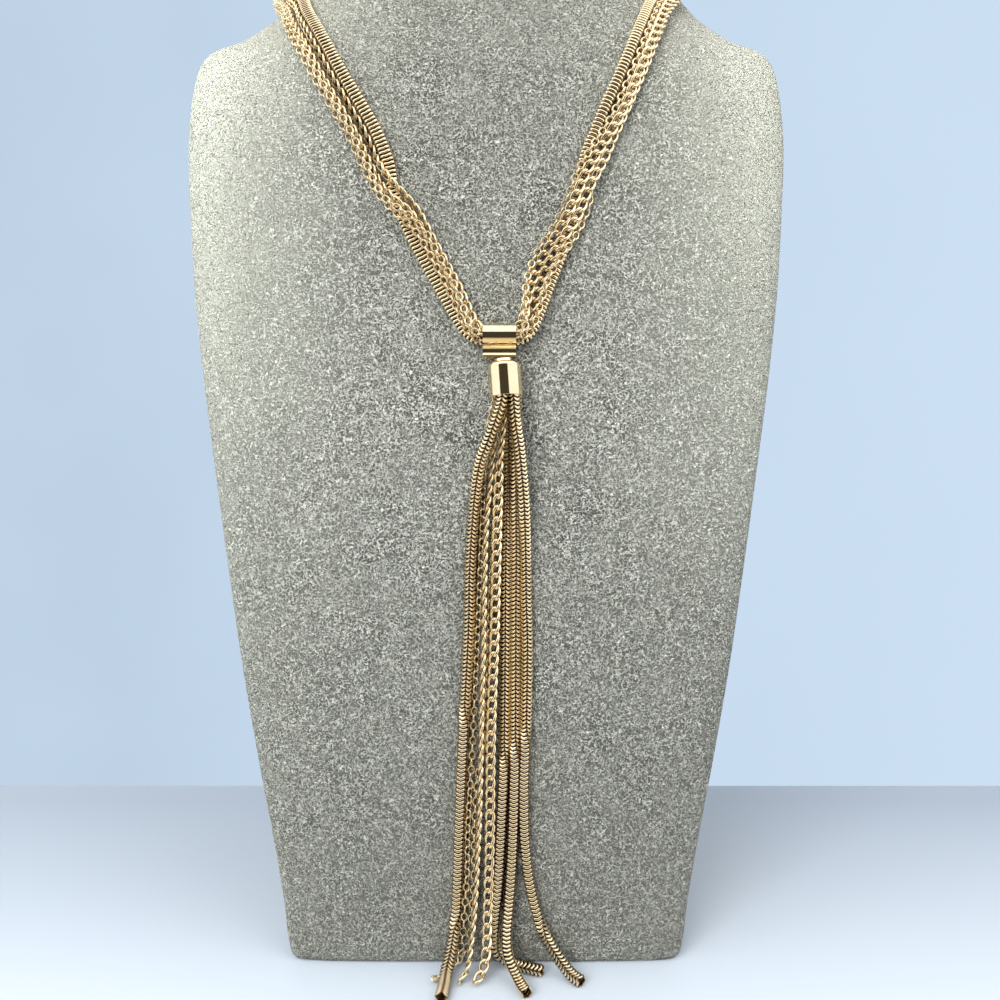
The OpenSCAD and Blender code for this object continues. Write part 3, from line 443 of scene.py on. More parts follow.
@dataclass
class Route:
    """Points of a strand from its start to its end, with the direction that faces out."""

    points: list[Vector]
    outs: list[Vector]

    STEPS = 8

    def smoothed(self) -> "Route":
        """Rounds the route.

        Returns:
            A smooth curve through its points, with more of them.
        """
        p, points, outs = self.points, [], []
        for i in range(len(p) - 1):
            a, b, c, d = p[max(i - 1, 0)], p[i], p[i + 1], p[min(i + 2, len(p) - 1)]
            for step in range(self.STEPS):
                f = step / self.STEPS
                points.append((
                    2 * b + (c - a) * f + (2 * a - 5 * b + 4 * c - d) * f * f
                    + (3 * b - a - 3 * c + d) * f * f * f
                ) / 2)
                outs.append(self.outs[i].lerp(self.outs[i + 1], f))
        return Route([*points, p[-1]], [*outs, self.outs[-1]])

    def stations(self, start: float, pitch: float) -> "Route":
        """Finds points at even distances, as many as the route holds.

        Args:
            start: distance of the first of them from the route's start.
            pitch: distance from one to the next.

        Returns:
            A route of those points.
        """
        at = [0.0]
        for a, b in zip(self.points, self.points[1:]):
            at.append(at[-1] + (b - a).length)
        points, outs = [], []
        for k in range(int((at[-1] - start) / pitch) + 1):
            i, f = stretch_of(at, start + k * pitch)
            points.append(self.points[i].lerp(self.points[i + 1], f))
            outs.append(self.outs[i].lerp(self.outs[i + 1], f))
        return Route(points, outs)


def carried_outs(points: Sequence[Vector], first: Vector) -> list[Vector]:
    """Carries a direction along a route without turning it about the route.

    Args:
        points: the route.
        first: the direction at the start, roughly.

    Returns:
        The direction at each point, square to the route.
    """
    outs, out = [], first
    for i in range(len(points)):
        along = heading(points, i)
        out = unit(out - along * out.dot(along))
        outs.append(out)
    return outs


class NeckStrand(Enum):
    """The five strands round the neck, by their column in the places."""

    SNAKE = 0
    CURB_1 = 1
    CURB_2 = 2
    CABLE_1 = 3
    CABLE_2 = 4


def neck_route(which: NeckStrand) -> Route:
    """Lays out a neck strand.

    Args:
        which: the strand.

    Returns:
        Its route, from the left of the clasp round the chest to the clasp's right.
    """
    clasp_x = CLASP_L / 2 + CLASP_GAP
    in_bail = tuple((aside, lift + HANGER.bail_lift) for aside, lift in IN_BAIL)
    chest = (
        *LEFT_CHEST,
        *((BAIL_X + side * BAIL_W / 2, BAIL_Z, in_bail) for side in (-1, 0, 1)),
        *RIGHT_CHEST,
    )
    rows = [
        (SKIN.back_bearing(-clasp_x, NAPE_Z), NAPE_Z, LEFT_CLASP),
        *LEFT_NECK,
        *((SKIN.front_bearing(x, z), z, places) for x, z, places in chest),
        *RIGHT_NECK,
        (SKIN.back_bearing(clasp_x, NAPE_Z), NAPE_Z, RIGHT_CLASP),
    ]
    base = [SKIN.point(bearing, z) for bearing, z, _ in rows]
    outs = [SKIN.outward(bearing, z) for bearing, z, _ in rows]
    points = []
    for i, (_, _, places) in enumerate(rows):
        aside, lift = places[which.value]
        across = unit(heading(base, i).cross(outs[i]))
        points.append(base[i] + across * aside + outs[i] * lift)
    return Route(points, outs)


def tassel_route(
    bearing: float, ring_r: float, chest: Sequence[Row], floor: Sequence[Row]
) -> Route:
    """Lays out a tassel strand.

    Args:
        bearing: its place in the barrel, in degrees from the right to the front.
        ring_r: its distance from the barrel's middle.
        chest: its rows on the chest.
        floor: its rows near the floor.

    Returns:
        Its route, from inside the barrel to the floor.
    """
    a = math.radians(bearing)
    points = [
        HANGER.in_barrel((ring_r * math.cos(a), -ring_r * math.sin(a), z))
        for z in (HANGER.strand_top, HANGER.mouth_z)
    ]
    points += [SKIN.over_chest(x, z, lift) for x, z, lift in chest]
    points += [Vector((x, y - SKIN.base_middle, z)) for x, y, z in floor]
    return Route(points, carried_outs(points, VIEWER))


class Nodes:
    """Small helper that builds a material's node tree."""

    def __init__(self, name: str) -> None:
        """Starts a material.

        Args:
            name: its name.
        """
        self.material = bpy.data.materials.new(name)
        self.material.use_nodes = True
        self.tree = self.material.node_tree
        self.shader = self.tree.nodes["Principled BSDF"]
        self.place = self.add("ShaderNodeTexCoord").outputs["Object"]

    def feed(self, target: Socket, value: Socket | Colour | float) -> None:
        """Gives an input its value.

        Args:
            target: the input.
            value: a socket that it is joined to, a colour or a number.
        """
        if isinstance(value, Socket):
            self.tree.links.new(value, target)
        else:
            target.default_value = (*value, 1) if isinstance(value, tuple) else value

    def add(self, kind: str, **values: object) -> bpy.types.Node:
        """Adds a node.

        Args:
            kind: its type.
            values: its settings and its inputs as name=value, with _ for a space.

        Returns:
            The node.
        """
        node = self.tree.nodes.new(kind)
        for key, value in values.items():
            if hasattr(node, key):
                setattr(node, key, value)
            else:
                self.feed(node.inputs[key.replace("_", " ")], value)
        return node

    def shade(self, **values: Socket | Colour | float) -> None:
        """Feeds inputs of the material's shader, with _ for a space in their names."""
        for key, value in values.items():
            self.feed(self.shader.inputs[key.replace("_", " ")], value)

    def noise(
        self, scale: float, detail: float = 2, rough: float = 0.5, warp: float = 0
    ) -> Socket:
        """Adds a noise on the object's own coordinates.

        Args:
            scale: how many of its spots lie along a metre, roughly.
            detail: number of finer layers.
            rough: strength of the finer layers.
            warp: how far it is distorted.

        Returns:
            Its value.
        """
        return self.add(
            "ShaderNodeTexNoise", Vector=self.place, Scale=scale, Detail=detail, Roughness=rough,
            Distortion=warp,
        ).outputs["Fac"]

    def along(self, axis: str) -> Socket:
        """Returns one of the object's own coordinates, X, Y or Z."""
        return self.add("ShaderNodeSeparateXYZ", Vector=self.place).outputs[axis]

    def worked_out(self, operation: str, *values: Socket | float) -> Socket:
        """Adds a math operation.

        Args:
            operation: its name.
            values: what it works on.

        Returns:
            Its result.
        """
        node = self.add("ShaderNodeMath", operation=operation)
        for target, value in zip(node.inputs, values):
            self.feed(target, value)
        return node.outputs[0]

    def times(self, a: Socket, b: Socket | float) -> Socket:
        """Returns the product of two values."""
        return self.worked_out("MULTIPLY", a, b)

    def size_of(self, a: Socket) -> Socket:
        """Returns a value without its sign."""
        return self.worked_out("ABSOLUTE", a)

    def ramp(self, source: Socket, *stops: tuple[float, Colour]) -> Socket:
        """Makes a colour follow a value.

        Args:
            source: the value.
            stops: places from 0 to 1, each with its colour.

        Returns:
            The colour.
        """
        node = self.add("ShaderNodeValToRGB", Fac=source)
        marks = node.color_ramp.elements
        while len(marks) < len(stops):
            marks.new(0.5)
        for mark, (at, colour) in zip(marks, stops):
            mark.position = at
            mark.color = (*colour, 1)
        return node.outputs["Color"]

    def remap(self, source: Socket, span: Place, to_low: float, to_high: float) -> Socket:
        """Brings a value from one range to another.

        Args:
            source: the value.
            span: the ends of the range that it comes from.
            to_low: what the first end becomes.
            to_high: what the second end becomes.

        Returns:
            The new value.
        """
        low, high = span
        return self.add(
            "ShaderNodeMapRange", Value=source, From_Min=low, From_Max=high, To_Min=to_low,
            To_Max=to_high,
        ).outputs["Result"]

    def mix(self, share: Socket, a: Socket | Colour, b: Socket | Colour) -> Socket:
        """Mixes two colours.

        Args:
            share: how much of the second is in it.
            a: the first colour.
            b: the second colour.

        Returns:
            The mix.
        """
        node = self.add("ShaderNodeMix", data_type="RGBA")
        for target, value in ((0, share), (6, a), (7, b)):
            self.feed(node.inputs[target], value)
        return node.outputs[2]

    def bump(
        self, height: Socket, distance: float, strength: float = 1, under: Socket | None = None
    ) -> Socket:
        """Raises the surface by a height.

        Args:
            height: the height.
            distance: its full height in metres.
            strength: its strength.
            under: a normal that it is laid on.

        Returns:
            The new normal.
        """
        laid_on = {} if under is None else {"Normal": under}
        return self.add(
            "ShaderNodeBump", Strength=strength, Distance=distance, Height=height, **laid_on
        ).outputs["Normal"]


@dataclass(frozen=True)
class Gold:
    """A gold-coloured metal with faint wear, and painted shade where its links and plates lie deep.
    """

    name: str
    colour: Colour
    # The second colour is the painted shade where a link or plate lies deep.
    groove: Colour
    roughness: float
    wear: float
    grain: float

    PATCH_SCALE, SCRATCH_SCALE, GRAIN_SCALE = 240, 2600, 1500

    def material(self) -> bpy.types.Material:
        """Builds the finish.

        Returns:
            The material.
        """
        n = Nodes(self.name)
        # Painted shade: recessed places and the links' inner sides are painted towards the dark
        # colour.
        deep = n.add("ShaderNodeAttribute", attribute_name="groove").outputs["Fac"]
        patches = n.noise(self.PATCH_SCALE, 3, 0.6)
        tone = tuple(c * (1 - self.wear) for c in self.colour)
        worn = n.mix(n.remap(patches, (0.35, 0.7), 0, 1), self.colour, tone)
        scratches = n.noise(self.SCRATCH_SCALE, 2, 0.6)
        gloss = n.remap(scratches, (0.3, 0.75), self.roughness * 0.75, self.roughness * 1.35)
        n.shade(
            Base_Color=n.mix(deep, worn, self.groove), Metallic=1, Roughness=gloss,
            Normal=n.bump(n.noise(self.GRAIN_SCALE, 3), self.grain),
        )
        return n.material


@dataclass(frozen=True)
class Velvet:
    """Short velvet pile with worm-like flecks, painted paler towards its sides and its top as sheen
    and light, and painted darker low down and high up near the middle as shade.
    """

    name: str
    light: Colour
    dark: Colour
    # pale is the colour of the painted sheen and light, and shade that of the painted shade.
    pale: Colour
    shade: Colour
    sheen: Colour

    # Scales of the noises, heights of the pile, and places between which the painted sheen, light
    # and shade change
    WORM_SCALE, HAIR_SCALE, BRUSH_SCALE, PATCH_SCALE = 1030, 1600, 85, 16
    WORM_H, HAIR_H = 0.0012, 0.0006
    SIDE_SPAN, HIGH_SPAN, LOW_SPAN = (0.018, 0.085), (0.05, 0.27), (0.02, 0.17)
    HOLLOW_HEIGHT, HOLLOW_SIDE = (0.17, 0.29), (0.015, 0.06)

    def material(self) -> bpy.types.Material:
        """Builds the finish.

        Returns:
            The material.
        """
        n = Nodes(self.name)
        ridge = ((0.39, (0, 0, 0)), (0.49, (1, 1, 1)), (0.51, (1, 1, 1)), (0.61, (0, 0, 0)))
        worms = n.ramp(n.noise(self.WORM_SCALE, 1, 0.5, 0.4), *ridge)
        hairs = n.ramp(n.noise(self.HAIR_SCALE, 1, 0.5, 0.4), *ridge)
        brushed = n.noise(self.BRUSH_SCALE, 3, 0.6, 0.8)
        pile = n.mix(n.remap(brushed, (0.35, 0.65), 0, 0.4), worms, hairs)
        fleck = n.mix(pile, self.dark, self.light)
        aside, height = n.size_of(n.along("X")), n.along("Z")
        patchy = n.remap(n.noise(self.PATCH_SCALE), (0.3, 0.7), 0.8, 1.2)
        # Painted sheen and light: the velvet is painted paler towards its sides, as sheen, and
        # towards its top, as light from above.
        side = n.remap(aside, self.SIDE_SPAN, 0, 1)
        high = n.remap(height, self.HIGH_SPAN, 0.2, 1)
        lit = n.times(n.times(side, high), patchy)
        tone = n.mix(n.times(n.times(lit, lit), 0.72), fleck, self.pale)
        # Painted shade: the velvet is painted darker towards the bottom.
        deep = n.mix(pile, self.dark, self.shade)
        tone = n.mix(n.remap(height, self.LOW_SPAN, 0.68, 0), tone, deep)
        # Painted shade: the velvet is painted darker high up near the middle.
        hollow = n.times(
            n.remap(height, self.HOLLOW_HEIGHT, 0, 0.42), n.remap(aside, self.HOLLOW_SIDE, 1, 0)
        )
        fine = n.bump(hairs, self.HAIR_H, 0.8)
        n.shade(
            Base_Color=n.mix(hollow, tone, deep), Normal=n.bump(worms, self.WORM_H, 1, fine),
            Roughness=0.95, Specular_IOR_Level=0.1, Sheen_Weight=0.6, Sheen_Roughness=0.3,
            Sheen_Tint=self.sheen,
        )
        return n.material


@dataclass(frozen=True)
class Plain:
    """A matt surface of the studio, faintly mottled, whose painted tone changes towards one side:
    painted shade on the table, while the wall and the card glow as painted light.
    """

    name: str
    colour: Colour
    far: Colour
    axis: str
    span: Place
    glow: bool = False

    def material(self) -> bpy.types.Material:
        """Builds the finish.

        Returns:
            The material.
        """
        n = Nodes(self.name)
        tone = n.mix(n.remap(n.along(self.axis), self.span, 0, 1), self.colour, self.far)
        tone = n.mix(n.remap(n.noise(2), (0.3, 0.7), 0, 0.25), tone, self.colour)
        n.shade(Roughness=0.6)
        # Painted light: a glowing surface shows its tone with no lamp lighting it.
        if self.glow:
            n.shade(Base_Color=(0, 0, 0), Emission_Color=tone, Emission_Strength=1)
        else:
            n.shade(Base_Color=tone)
        return n.material


class Finish(Enum):
    """The finishes, by the material slot of the record that each stands for."""

    # The velvet's pale is the colour of its painted sheen and light, and its shade that of its
    # painted shade.
    VELVET = Velvet(
        "velvet", light=(0.96, 0.97, 0.90), dark=(0.085, 0.088, 0.077), pale=(0.90, 0.93, 0.80),
        shade=(0.38, 0.385, 0.35), sheen=(0.9, 0.92, 0.84),
    )
    # Each gold's second colour is its painted shade where a link or plate lies deep.
    POLISHED = Gold(
        "polished_gold", (0.94, 0.79, 0.54), (0.13, 0.06, 0.015), 0.09, 0.08, 0.000003
    )
    SNAKE = Gold("snake_gold", (0.98, 0.82, 0.56), (0.11, 0.048, 0.012), 0.17, 0.10, 0.000005)
    LINK = Gold("link_gold", (0.95, 0.79, 0.53), (0.10, 0.044, 0.011), 0.16, 0.12, 0.000005)


MATERIALS: dict[Finish, bpy.types.Material] = {}


def finish_of(finish: Finish) -> bpy.types.Material:
    """Builds a finish when it is first asked for.

    Args:
        finish: the finish.

    Returns:
        Its one material.
    """
    if finish not in MATERIALS:
        MATERIALS[finish] = finish.value.material()
    return MATERIALS[finish]


def placed(name: str, bm: Shape, material: bpy.types.Material) -> Piece:
    """Puts a mesh into the scene.

    Args:
        name: the name of its object.
        bm: the mesh in metres, which is freed.
        material: its material.

    Returns:
        The object.
    """
    mesh = bpy.data.meshes.new(name)
    bm.to_mesh(mesh)
    bm.free()
    mesh.materials.append(material)
    piece = bpy.data.objects.new(name, mesh)
    bpy.context.scene.collection.objects.link(piece)
    return piece


def finished(name: str, bm: Shape, finish: Finish, node: str) -> Piece:
    """Turns a mesh in millimetres into a piece that stands for a CAD node.

    Args:
        name: the piece's name.
        bm: the mesh, which is freed.
        finish: its finish.
        node: the CAD node.

    Returns:
        The piece, in place.
    """
    bmesh.ops.scale(bm, vec=Vector((MM, MM, MM)), verts=bm.verts)
    bmesh.ops.recalc_face_normals(bm, faces=bm.faces)
    for face in bm.faces:
        face.smooth = True
    piece = placed(name, bm, finish_of(finish))
    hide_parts(node)
    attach(piece, "root")
    triangles = sum(len(p.vertices) - 2 for p in piece.data.polygons)
    log.info("%s: %d triangles", name, triangles)
    return piece


def ring(bm: Shape, places: Sequence[Vector]) -> list[bmesh.types.BMEdge]:
    """Adds a closed ring of edges to a mesh.

    Args:
        bm: the mesh.
        places: where its corners are.

    Returns:
        The edges.
    """
    made = bmesh.ops.create_circle(bm, segments=len(places), radius=1)["verts"]
    for vertex, place in zip(made, places):
        vertex.co = place
    return list({e for v in made for e in v.link_edges})


def bridged(
    bm: Shape, rings: Sequence[Sequence[Vector]], closed: bool, capped: bool = False
) -> None:
    """Skins rings one to the next.

    Args:
        bm: the mesh that takes them.
        rings: the rings, with as many places each.
        closed: whether the last ring joins the first.
        capped: whether the first and the last ring are closed with a face.
    """
    loops = [ring(bm, places) for places in rings]
    pairs = list(zip(loops, loops[1:]))
    if closed:
        pairs.append((loops[-1], loops[0]))
    for a, b in pairs:
        bmesh.ops.bridge_loops(bm, edges=[*a, *b])
    if capped:
        for loop in (loops[0], loops[-1]):
            bmesh.ops.contextual_create(bm, geom=loop)


@dataclass
class VelvetBust:
    """The plain velvet neck bust."""

    height: float = BUST_H
    sides: int = 160
    step: float = 2.5

    def build(self) -> Piece:
        """Builds the bust, closed all over.

        Returns:
            The piece.
        """
        table = [row[0] * self.height for row in SECTIONS]
        heights = []
        for low, high in zip(table, table[1:]):
            count = max(2, math.ceil((high - low) / self.step))
            heights += [low + (high - low) * k / count for k in range(count)]
        heights.append(table[-1])
        bearings = [-180 + k * 360 / self.sides for k in range(self.sides)]
        rings = [[SKIN.point(bearing, z, rounded=True) for bearing in bearings] for z in heights]
        bm = bmesh.new()
        bridged(bm, rings, closed=False, capped=True)
        return finished("velvet_bust", bm, Finish.VELVET, "bust")


class Link:
    """One small repeated piece of a chain, long along X with its face towards Z."""

    def rings(self) -> list[list[Vector]]:
        """Returns the rings that are skinned one to the next and back to the first."""
        raise NotImplementedError

    def groove(self, v: Vector) -> float:
        """Returns how much painted shade a place gets, by how deep it lies, from 0 outside to 1."""
        raise NotImplementedError

    def mesh(self) -> bpy.types.Mesh:
        """Builds the piece.

        Returns:
            A mesh that a chain copies.
        """
        bm = bmesh.new()
        bridged(bm, self.rings(), closed=True)
        # Each place's share of painted shade, for the material.
        layer = bm.verts.layers.float.new("groove")
        for vertex in bm.verts:
            vertex[layer] = self.groove(vertex.co)
        bmesh.ops.recalc_face_normals(bm, faces=bm.faces)
        mesh = bpy.data.meshes.new("link")
        bm.to_mesh(mesh)
        bm.free()
        return mesh


@dataclass(frozen=True)
class SnakePlate(Link):
    """A square plate of a snake chain, whose faces run down the chain and whose corners dip."""

    half: float = SNAKE_W / 2 + 0.18
    pitch: float = 1.22
    corner: float = 0.83
    # How much painted shade falls on the corners.
    dark_corner: float = 1.0
    dip: float = 1.0

    # Distance in from the outline, and place along the chain
    SECTION = ((0.46, -0.58), (0.14, -0.32), (0.05, 0.00), (0.06, 0.36), (0.50, 0.45))
    # How far the middle of a face, the place beside it and the corner lie down the chain
    MIDDLE_DIP, SIDE_DIP, CORNER_DIP = 0.34, 0.04, -0.30
    SIDE_BULGE = 0.12
    # Shares of the half width where the painted shade begins, and over which it deepens
    RIM, RIM_FADE, CORNER, CORNER_FADE = 0.86, 0.12, 0.45, 0.25

    def quarter(self) -> tuple[Row, Row, Row, Row]:
        """Lays out a quarter of the outline.

        Returns:
            Its places. Each is two shares of the half width, and how far it lies down the chain.
        """
        side, side_dip = self.corner + self.SIDE_BULGE, self.SIDE_DIP * self.dip
        return (
            (1.0, 0.0, self.MIDDLE_DIP * self.dip),
            (side, 0.5, side_dip),
            (self.corner, self.corner, self.CORNER_DIP * self.dip),
            (0.5, side, side_dip),
        )

    def rings(self) -> list[list[Vector]]:
        """Lays out the plate.

        Returns:
            Its rings, from its front inside over its rim to its back inside.
        """
        outline = [
            (Matrix.Rotation(k * math.pi / 2, 3, "X"), place)
            for k in range(4) for place in self.quarter()
        ]
        return [
            [
                turn @ Vector((x + down, across * (self.half - inset), along * (self.half - inset)))
                for turn, (across, along, down) in outline
            ]
            for inset, x in self.SECTION
        ]

    def groove(self, v: Vector) -> float:
        """Measures how much painted shade a place gets.

        Args:
            v: the place.

        Returns:
            0 on the rim's faces, to 1, full painted shade, further in or at a corner.
        """
        across, along = abs(v.y) / self.half, abs(v.z) / self.half
        sunk = (self.RIM - max(across, along)) / self.RIM_FADE
        at_corner = (min(across, along) - self.CORNER) / self.CORNER_FADE
        return share_of(max(sunk, at_corner * self.dark_corner))


@dataclass(frozen=True)
class OvalLink(Link):
    """An oval wire link, with its two ends turned opposite ways by a twist."""

    length: float
    width: float
    wire: float
    twist: float
    around: int = 12
    sides: int = 6
    flat: float = 1.0

    # Shares of the way out to the wire's middle line where the painted shade on its inner side ends
    INNER, INNER_FADE = 0.85, 0.22

    def place(self, a: float) -> Vector:
        """Finds the middle of the wire.

        Args:
            a: angle round the link.

        Returns:
            The place.
        """
        long_r = (self.length - self.wire) / 2 / math.cos(math.pi / self.around)
        short_r = (self.width - self.wire) / 2
        x, y = long_r * math.cos(a), short_r * math.sin(a)
        turn = math.radians(self.twist) * x / long_r
        return Vector((x, y * math.cos(turn), y * math.sin(turn)))

    def rings(self) -> list[list[Vector]]:
        """Lays out the link.

        Returns:
            The rings of the wire, one after another round the link.
        """
        step = 2 * math.pi / self.around
        turns = [m * 2 * math.pi / self.sides for m in range(self.sides)]
        found = []
        for k in range(self.around):
            a = (k + 0.5) * step
            middle = self.place(a)
            along = unit(self.place(a + step) - self.place(a - step))
            u = unit(along.cross(Vector((0, 0, 1))))
            v = along.cross(u)
            found.append([
                middle + (u * math.cos(w) + v * (math.sin(w) * self.flat)) * self.wire / 2
                for w in turns
            ])
        return found

    def groove(self, v: Vector) -> float:
        """Measures how much painted shade a place gets, by how far it lies towards the inner side
        of the wire.

        Args:
            v: the place.

        Returns:
            0 on the outer side, to 1, full painted shade, on the inner side.
        """
        long_r, short_r = (self.length - self.wire) / 2, (self.width - self.wire) / 2
        out = math.hypot(v.x / long_r, math.hypot(v.y, v.z) / short_r)
        return share_of((self.INNER - out) / self.INNER_FADE)


# A turn in degrees or a girth that depends on the distance along a strand
ByDistance = Callable[[float], float]


def through(*marks: Place) -> ByDistance:
    """Returns a value that follows the distance along a strand through marks."""
    return Curve([at for at, _ in marks], [value for _, value in marks]).rounded


def steady(value: float) -> ByDistance:
    """Returns a value that stays the same."""
    return lambda _: value


@dataclass(frozen=True)
class ChainKind:
    """A kind of chain: its links, how far apart they are and how they are laid.

    The first link stands at the start. Every second link is turned by the alternate's degrees,
    and the girth widens the links.
    """

    link: Link
    pitch: float
    finish: Finish
    start: float = FIRST_LINK
    alternate: float = 0.0
    girth: ByDistance = steady(1)


@dataclass
class Chain:
    """A chain of one kind along a route, turned about it by degrees."""

    name: str
    route: Route
    kind: ChainKind
    turn: ByDistance

    def build(self) -> Piece:
        """Builds the chain as one piece.

        Returns:
            The piece.
        """
        kind = self.kind
        template = kind.link.mesh()
        joints = self.route.smoothed().stations(kind.start, kind.pitch)
        bm = bmesh.new()
        bm.verts.layers.float.new("groove")
        for i, (a, b) in enumerate(zip(joints.points, joints.points[1:])):
            at = kind.start + i * kind.pitch
            along = unit(b - a)
            out = unit(joints.outs[i] - along * joints.outs[i].dot(along))
            angle = self.turn(at) + kind.alternate * (i % 2)
            out = Matrix.Rotation(math.radians(angle), 3, along) @ out
            girth = kind.girth(at)
            axes = Matrix((along, out.cross(along) * girth, out * girth)).transposed()
            copy = template.copy()
            copy.transform(Matrix.Translation((a + b) / 2) @ axes.to_4x4())
            bm.from_mesh(copy)
            bpy.data.meshes.remove(copy)
        bpy.data.meshes.remove(template)
        return finished(self.name + "_chain", bm, kind.finish, self.name)


def curb_link(around: int, sides: int) -> OvalLink:
    """Sizes a curb link on the middle line of the CAD's.

    Args:
        around: number of rings round the link.
        sides: number of sides of its wire.

    Returns:
        The link.
    """
    wire = LINK_WIRE + LINK_EXTRA_WIRE
    middle = LINK_PITCH + LINK_WIRE + LINK_PLAY
    return OvalLink(
        middle + wire, LINK_W + LINK_EXTRA_W, wire, LINK_TWIST, around, sides, LINK_FLAT
    )


CURB = curb_link(around=12, sides=6)
FINE_CURB = curb_link(around=16, sides=8)
CABLE = OvalLink(length=3.1, width=2.5, wire=0.64, twist=0)


@dataclass
class NeckChains:
    """The five strands from the clasp through the bail and back."""

    curb_pitch: float = LINK_PITCH
    cable_pitch: float = 2.08

    def build(self) -> None:
        """Builds each strand."""
        plate = SnakePlate(corner=0.92, dark_corner=0.0, dip=0.35)
        fuller = through(
            (0, 1), (15, 1.2), (215, 1.25), (233, 1), (250, 1), (268, 1.15), (465, 1.15), (480, 1)
        )
        snake = ChainKind(plate, plate.pitch, Finish.SNAKE, girth=fuller)
        curb = ChainKind(CURB, self.curb_pitch, Finish.LINK)
        cable = ChainKind(CABLE, self.cable_pitch, Finish.LINK, alternate=90)
        rope_then_flat = through((0, 60), (195, 60), (215, 45), (232, 20), (262, 5), (482, 0))
        for which, kind, turn in (
            (NeckStrand.SNAKE, snake, steady(0)),
            (NeckStrand.CURB_1, curb, rope_then_flat),
            (NeckStrand.CURB_2, curb, rope_then_flat),
            (NeckStrand.CABLE_1, cable, steady(20)),
            (NeckStrand.CABLE_2, cable, steady(0)),
        ):
            Chain("neck_" + which.name.lower(), neck_route(which), kind, turn).build()


@dataclass
class TasselChains:
    """The eight strands that hang from the barrel."""

    bore_r: float = BARREL_R - BARREL_WALL
    snake_girth: float = 1.15
    curb_pitch: float = LINK_PITCH
    curb_start: float = LINK_WIRE + LINK_PLAY
    cable_pitch: float = 2.23

    def build(self) -> None:
        """Builds each strand."""
        snake_r, curb_r, cable_r = (
            self.bore_r - width / 2 - SEAT_GAP for width in (SNAKE_W, CURB_W, CABLE_W)
        )
        plate = SnakePlate()
        snake = ChainKind(plate, plate.pitch, Finish.SNAKE, girth=steady(self.snake_girth))
        curb_front = ChainKind(FINE_CURB, self.curb_pitch, Finish.LINK, self.curb_start)
        curb_side = ChainKind(CURB, self.curb_pitch, Finish.LINK, self.curb_start)
        cable = ChainKind(CABLE, self.cable_pitch, Finish.LINK, alternate=90)
        for name, kind, bearing, ring_r, chest, floor, turn in (
            ("snake_a", snake, 110, snake_r, SNAKE_A_CHEST, SNAKE_A_FLOOR,
             through((0, 45), (102, 42), (111, 0), (165, 0), (172, 45), (200, 45))),
            ("snake_b", snake, -70, snake_r, SNAKE_B_CHEST, SNAKE_B_FLOOR,
             through((0, 45), (112, 45), (122, 8), (170, 8), (180, 45), (200, 45))),
            ("snake_c", snake, -15, snake_r, SNAKE_C_CHEST, SNAKE_C_FLOOR,
             through((0, 40), (110, 40), (120, 0), (200, 0))),
            ("snake_d", snake, 45, snake_r, SNAKE_D_CHEST, SNAKE_D_FLOOR,
             through((0, 45), (107, 42), (116, 0), (165, 0), (174, 45), (200, 45))),
            ("curb_front", curb_front, 0, 0, CURB_FRONT_CHEST, CURB_FRONT_FLOOR,
             through((0, 85), (24, 70), (38, 10), (190, 22))),
            ("curb_side", curb_side, -156, curb_r, CURB_SIDE_CHEST, CURB_SIDE_FLOOR, steady(78)),
            ("cable_1", cable, 162, cable_r, CABLE_1_CHEST, CABLE_1_FLOOR,
             through((0, 45), (92, 40), (102, 0), (120, 8), (132, 45), (150, 40), (162, 0),
                     (190, 5))),
            ("cable_2", cable, -114, cable_r, CABLE_2_CHEST, CABLE_2_FLOOR,
             through((0, 40), (115, 30), (125, 0), (190, 0))),
        ):
            Chain("tassel_" + name, tassel_route(bearing, ring_r, chest, floor), kind, turn).build()


def bevelled(bm: Shape, edges: list[bmesh.types.BMEdge], offset: float, segments: int) -> None:
    """Rounds edges of a mesh.

    Args:
        bm: the mesh.
        edges: the edges.
        offset: how far the round reaches, in millimetres.
        segments: its number of steps.
    """
    bmesh.ops.bevel(
        bm, geom=edges, offset=offset, affect="EDGES", segments=segments, profile=0.5,
        material=-1, clamp_overlap=True,
    )


def softened(bm: Shape, offset: float, segments: int = 2) -> None:
    """Rounds every edge of a mesh that is sharper than SHARP_ANGLE.

    Args:
        bm: the mesh.
        offset: how far the round reaches, in millimetres.
        segments: its number of steps.
    """
    sharp = math.radians(SHARP_ANGLE)
    edges = [e for e in bm.edges if e.is_manifold and e.calc_face_angle() > sharp]
    bevelled(bm, edges, offset, segments)


def polished(name: str, bm: Shape, turn: Matrix, node: str) -> Piece:
    """Finishes a fitting, so that its flat faces shade flat.

    Args:
        name: the piece's name.
        bm: its mesh in millimetres.
        turn: where the mesh is put.
        node: the CAD node that it stands for.

    Returns:
        The piece.
    """
    bmesh.ops.transform(bm, matrix=turn, verts=bm.verts)
    piece = finished(name, bm, Finish.POLISHED, node)
    evened = piece.modifiers.new("evened", "WEIGHTED_NORMAL")
    evened.weight = 100
    return piece


def turned(profile: Sequence[Place], closed: bool, steps: int) -> Shape:
    """Turns a mesh about Z, as on a lathe.

    Args:
        profile: radius and height of each place of its half section.
        closed: whether the last place joins the first.
        steps: number of faces round it.

    Returns:
        The mesh.
    """
    bm = bmesh.new()
    verts = [bm.verts.new((r, 0, z)) for r, z in profile]
    pairs = list(zip(verts, verts[1:])) + ([(verts[-1], verts[0])] if closed else [])
    edges = [bm.edges.new(pair) for pair in pairs]
    bmesh.ops.spin(
        bm, geom=[*verts, *edges], cent=(0, 0, 0), axis=(0, 0, 1), angle=math.tau, steps=steps,
        use_merge=True, use_duplicate=False,
    )
    bmesh.ops.remove_doubles(bm, verts=bm.verts, dist=WELD)
    bmesh.ops.recalc_face_normals(bm, faces=bm.faces)
    return bm


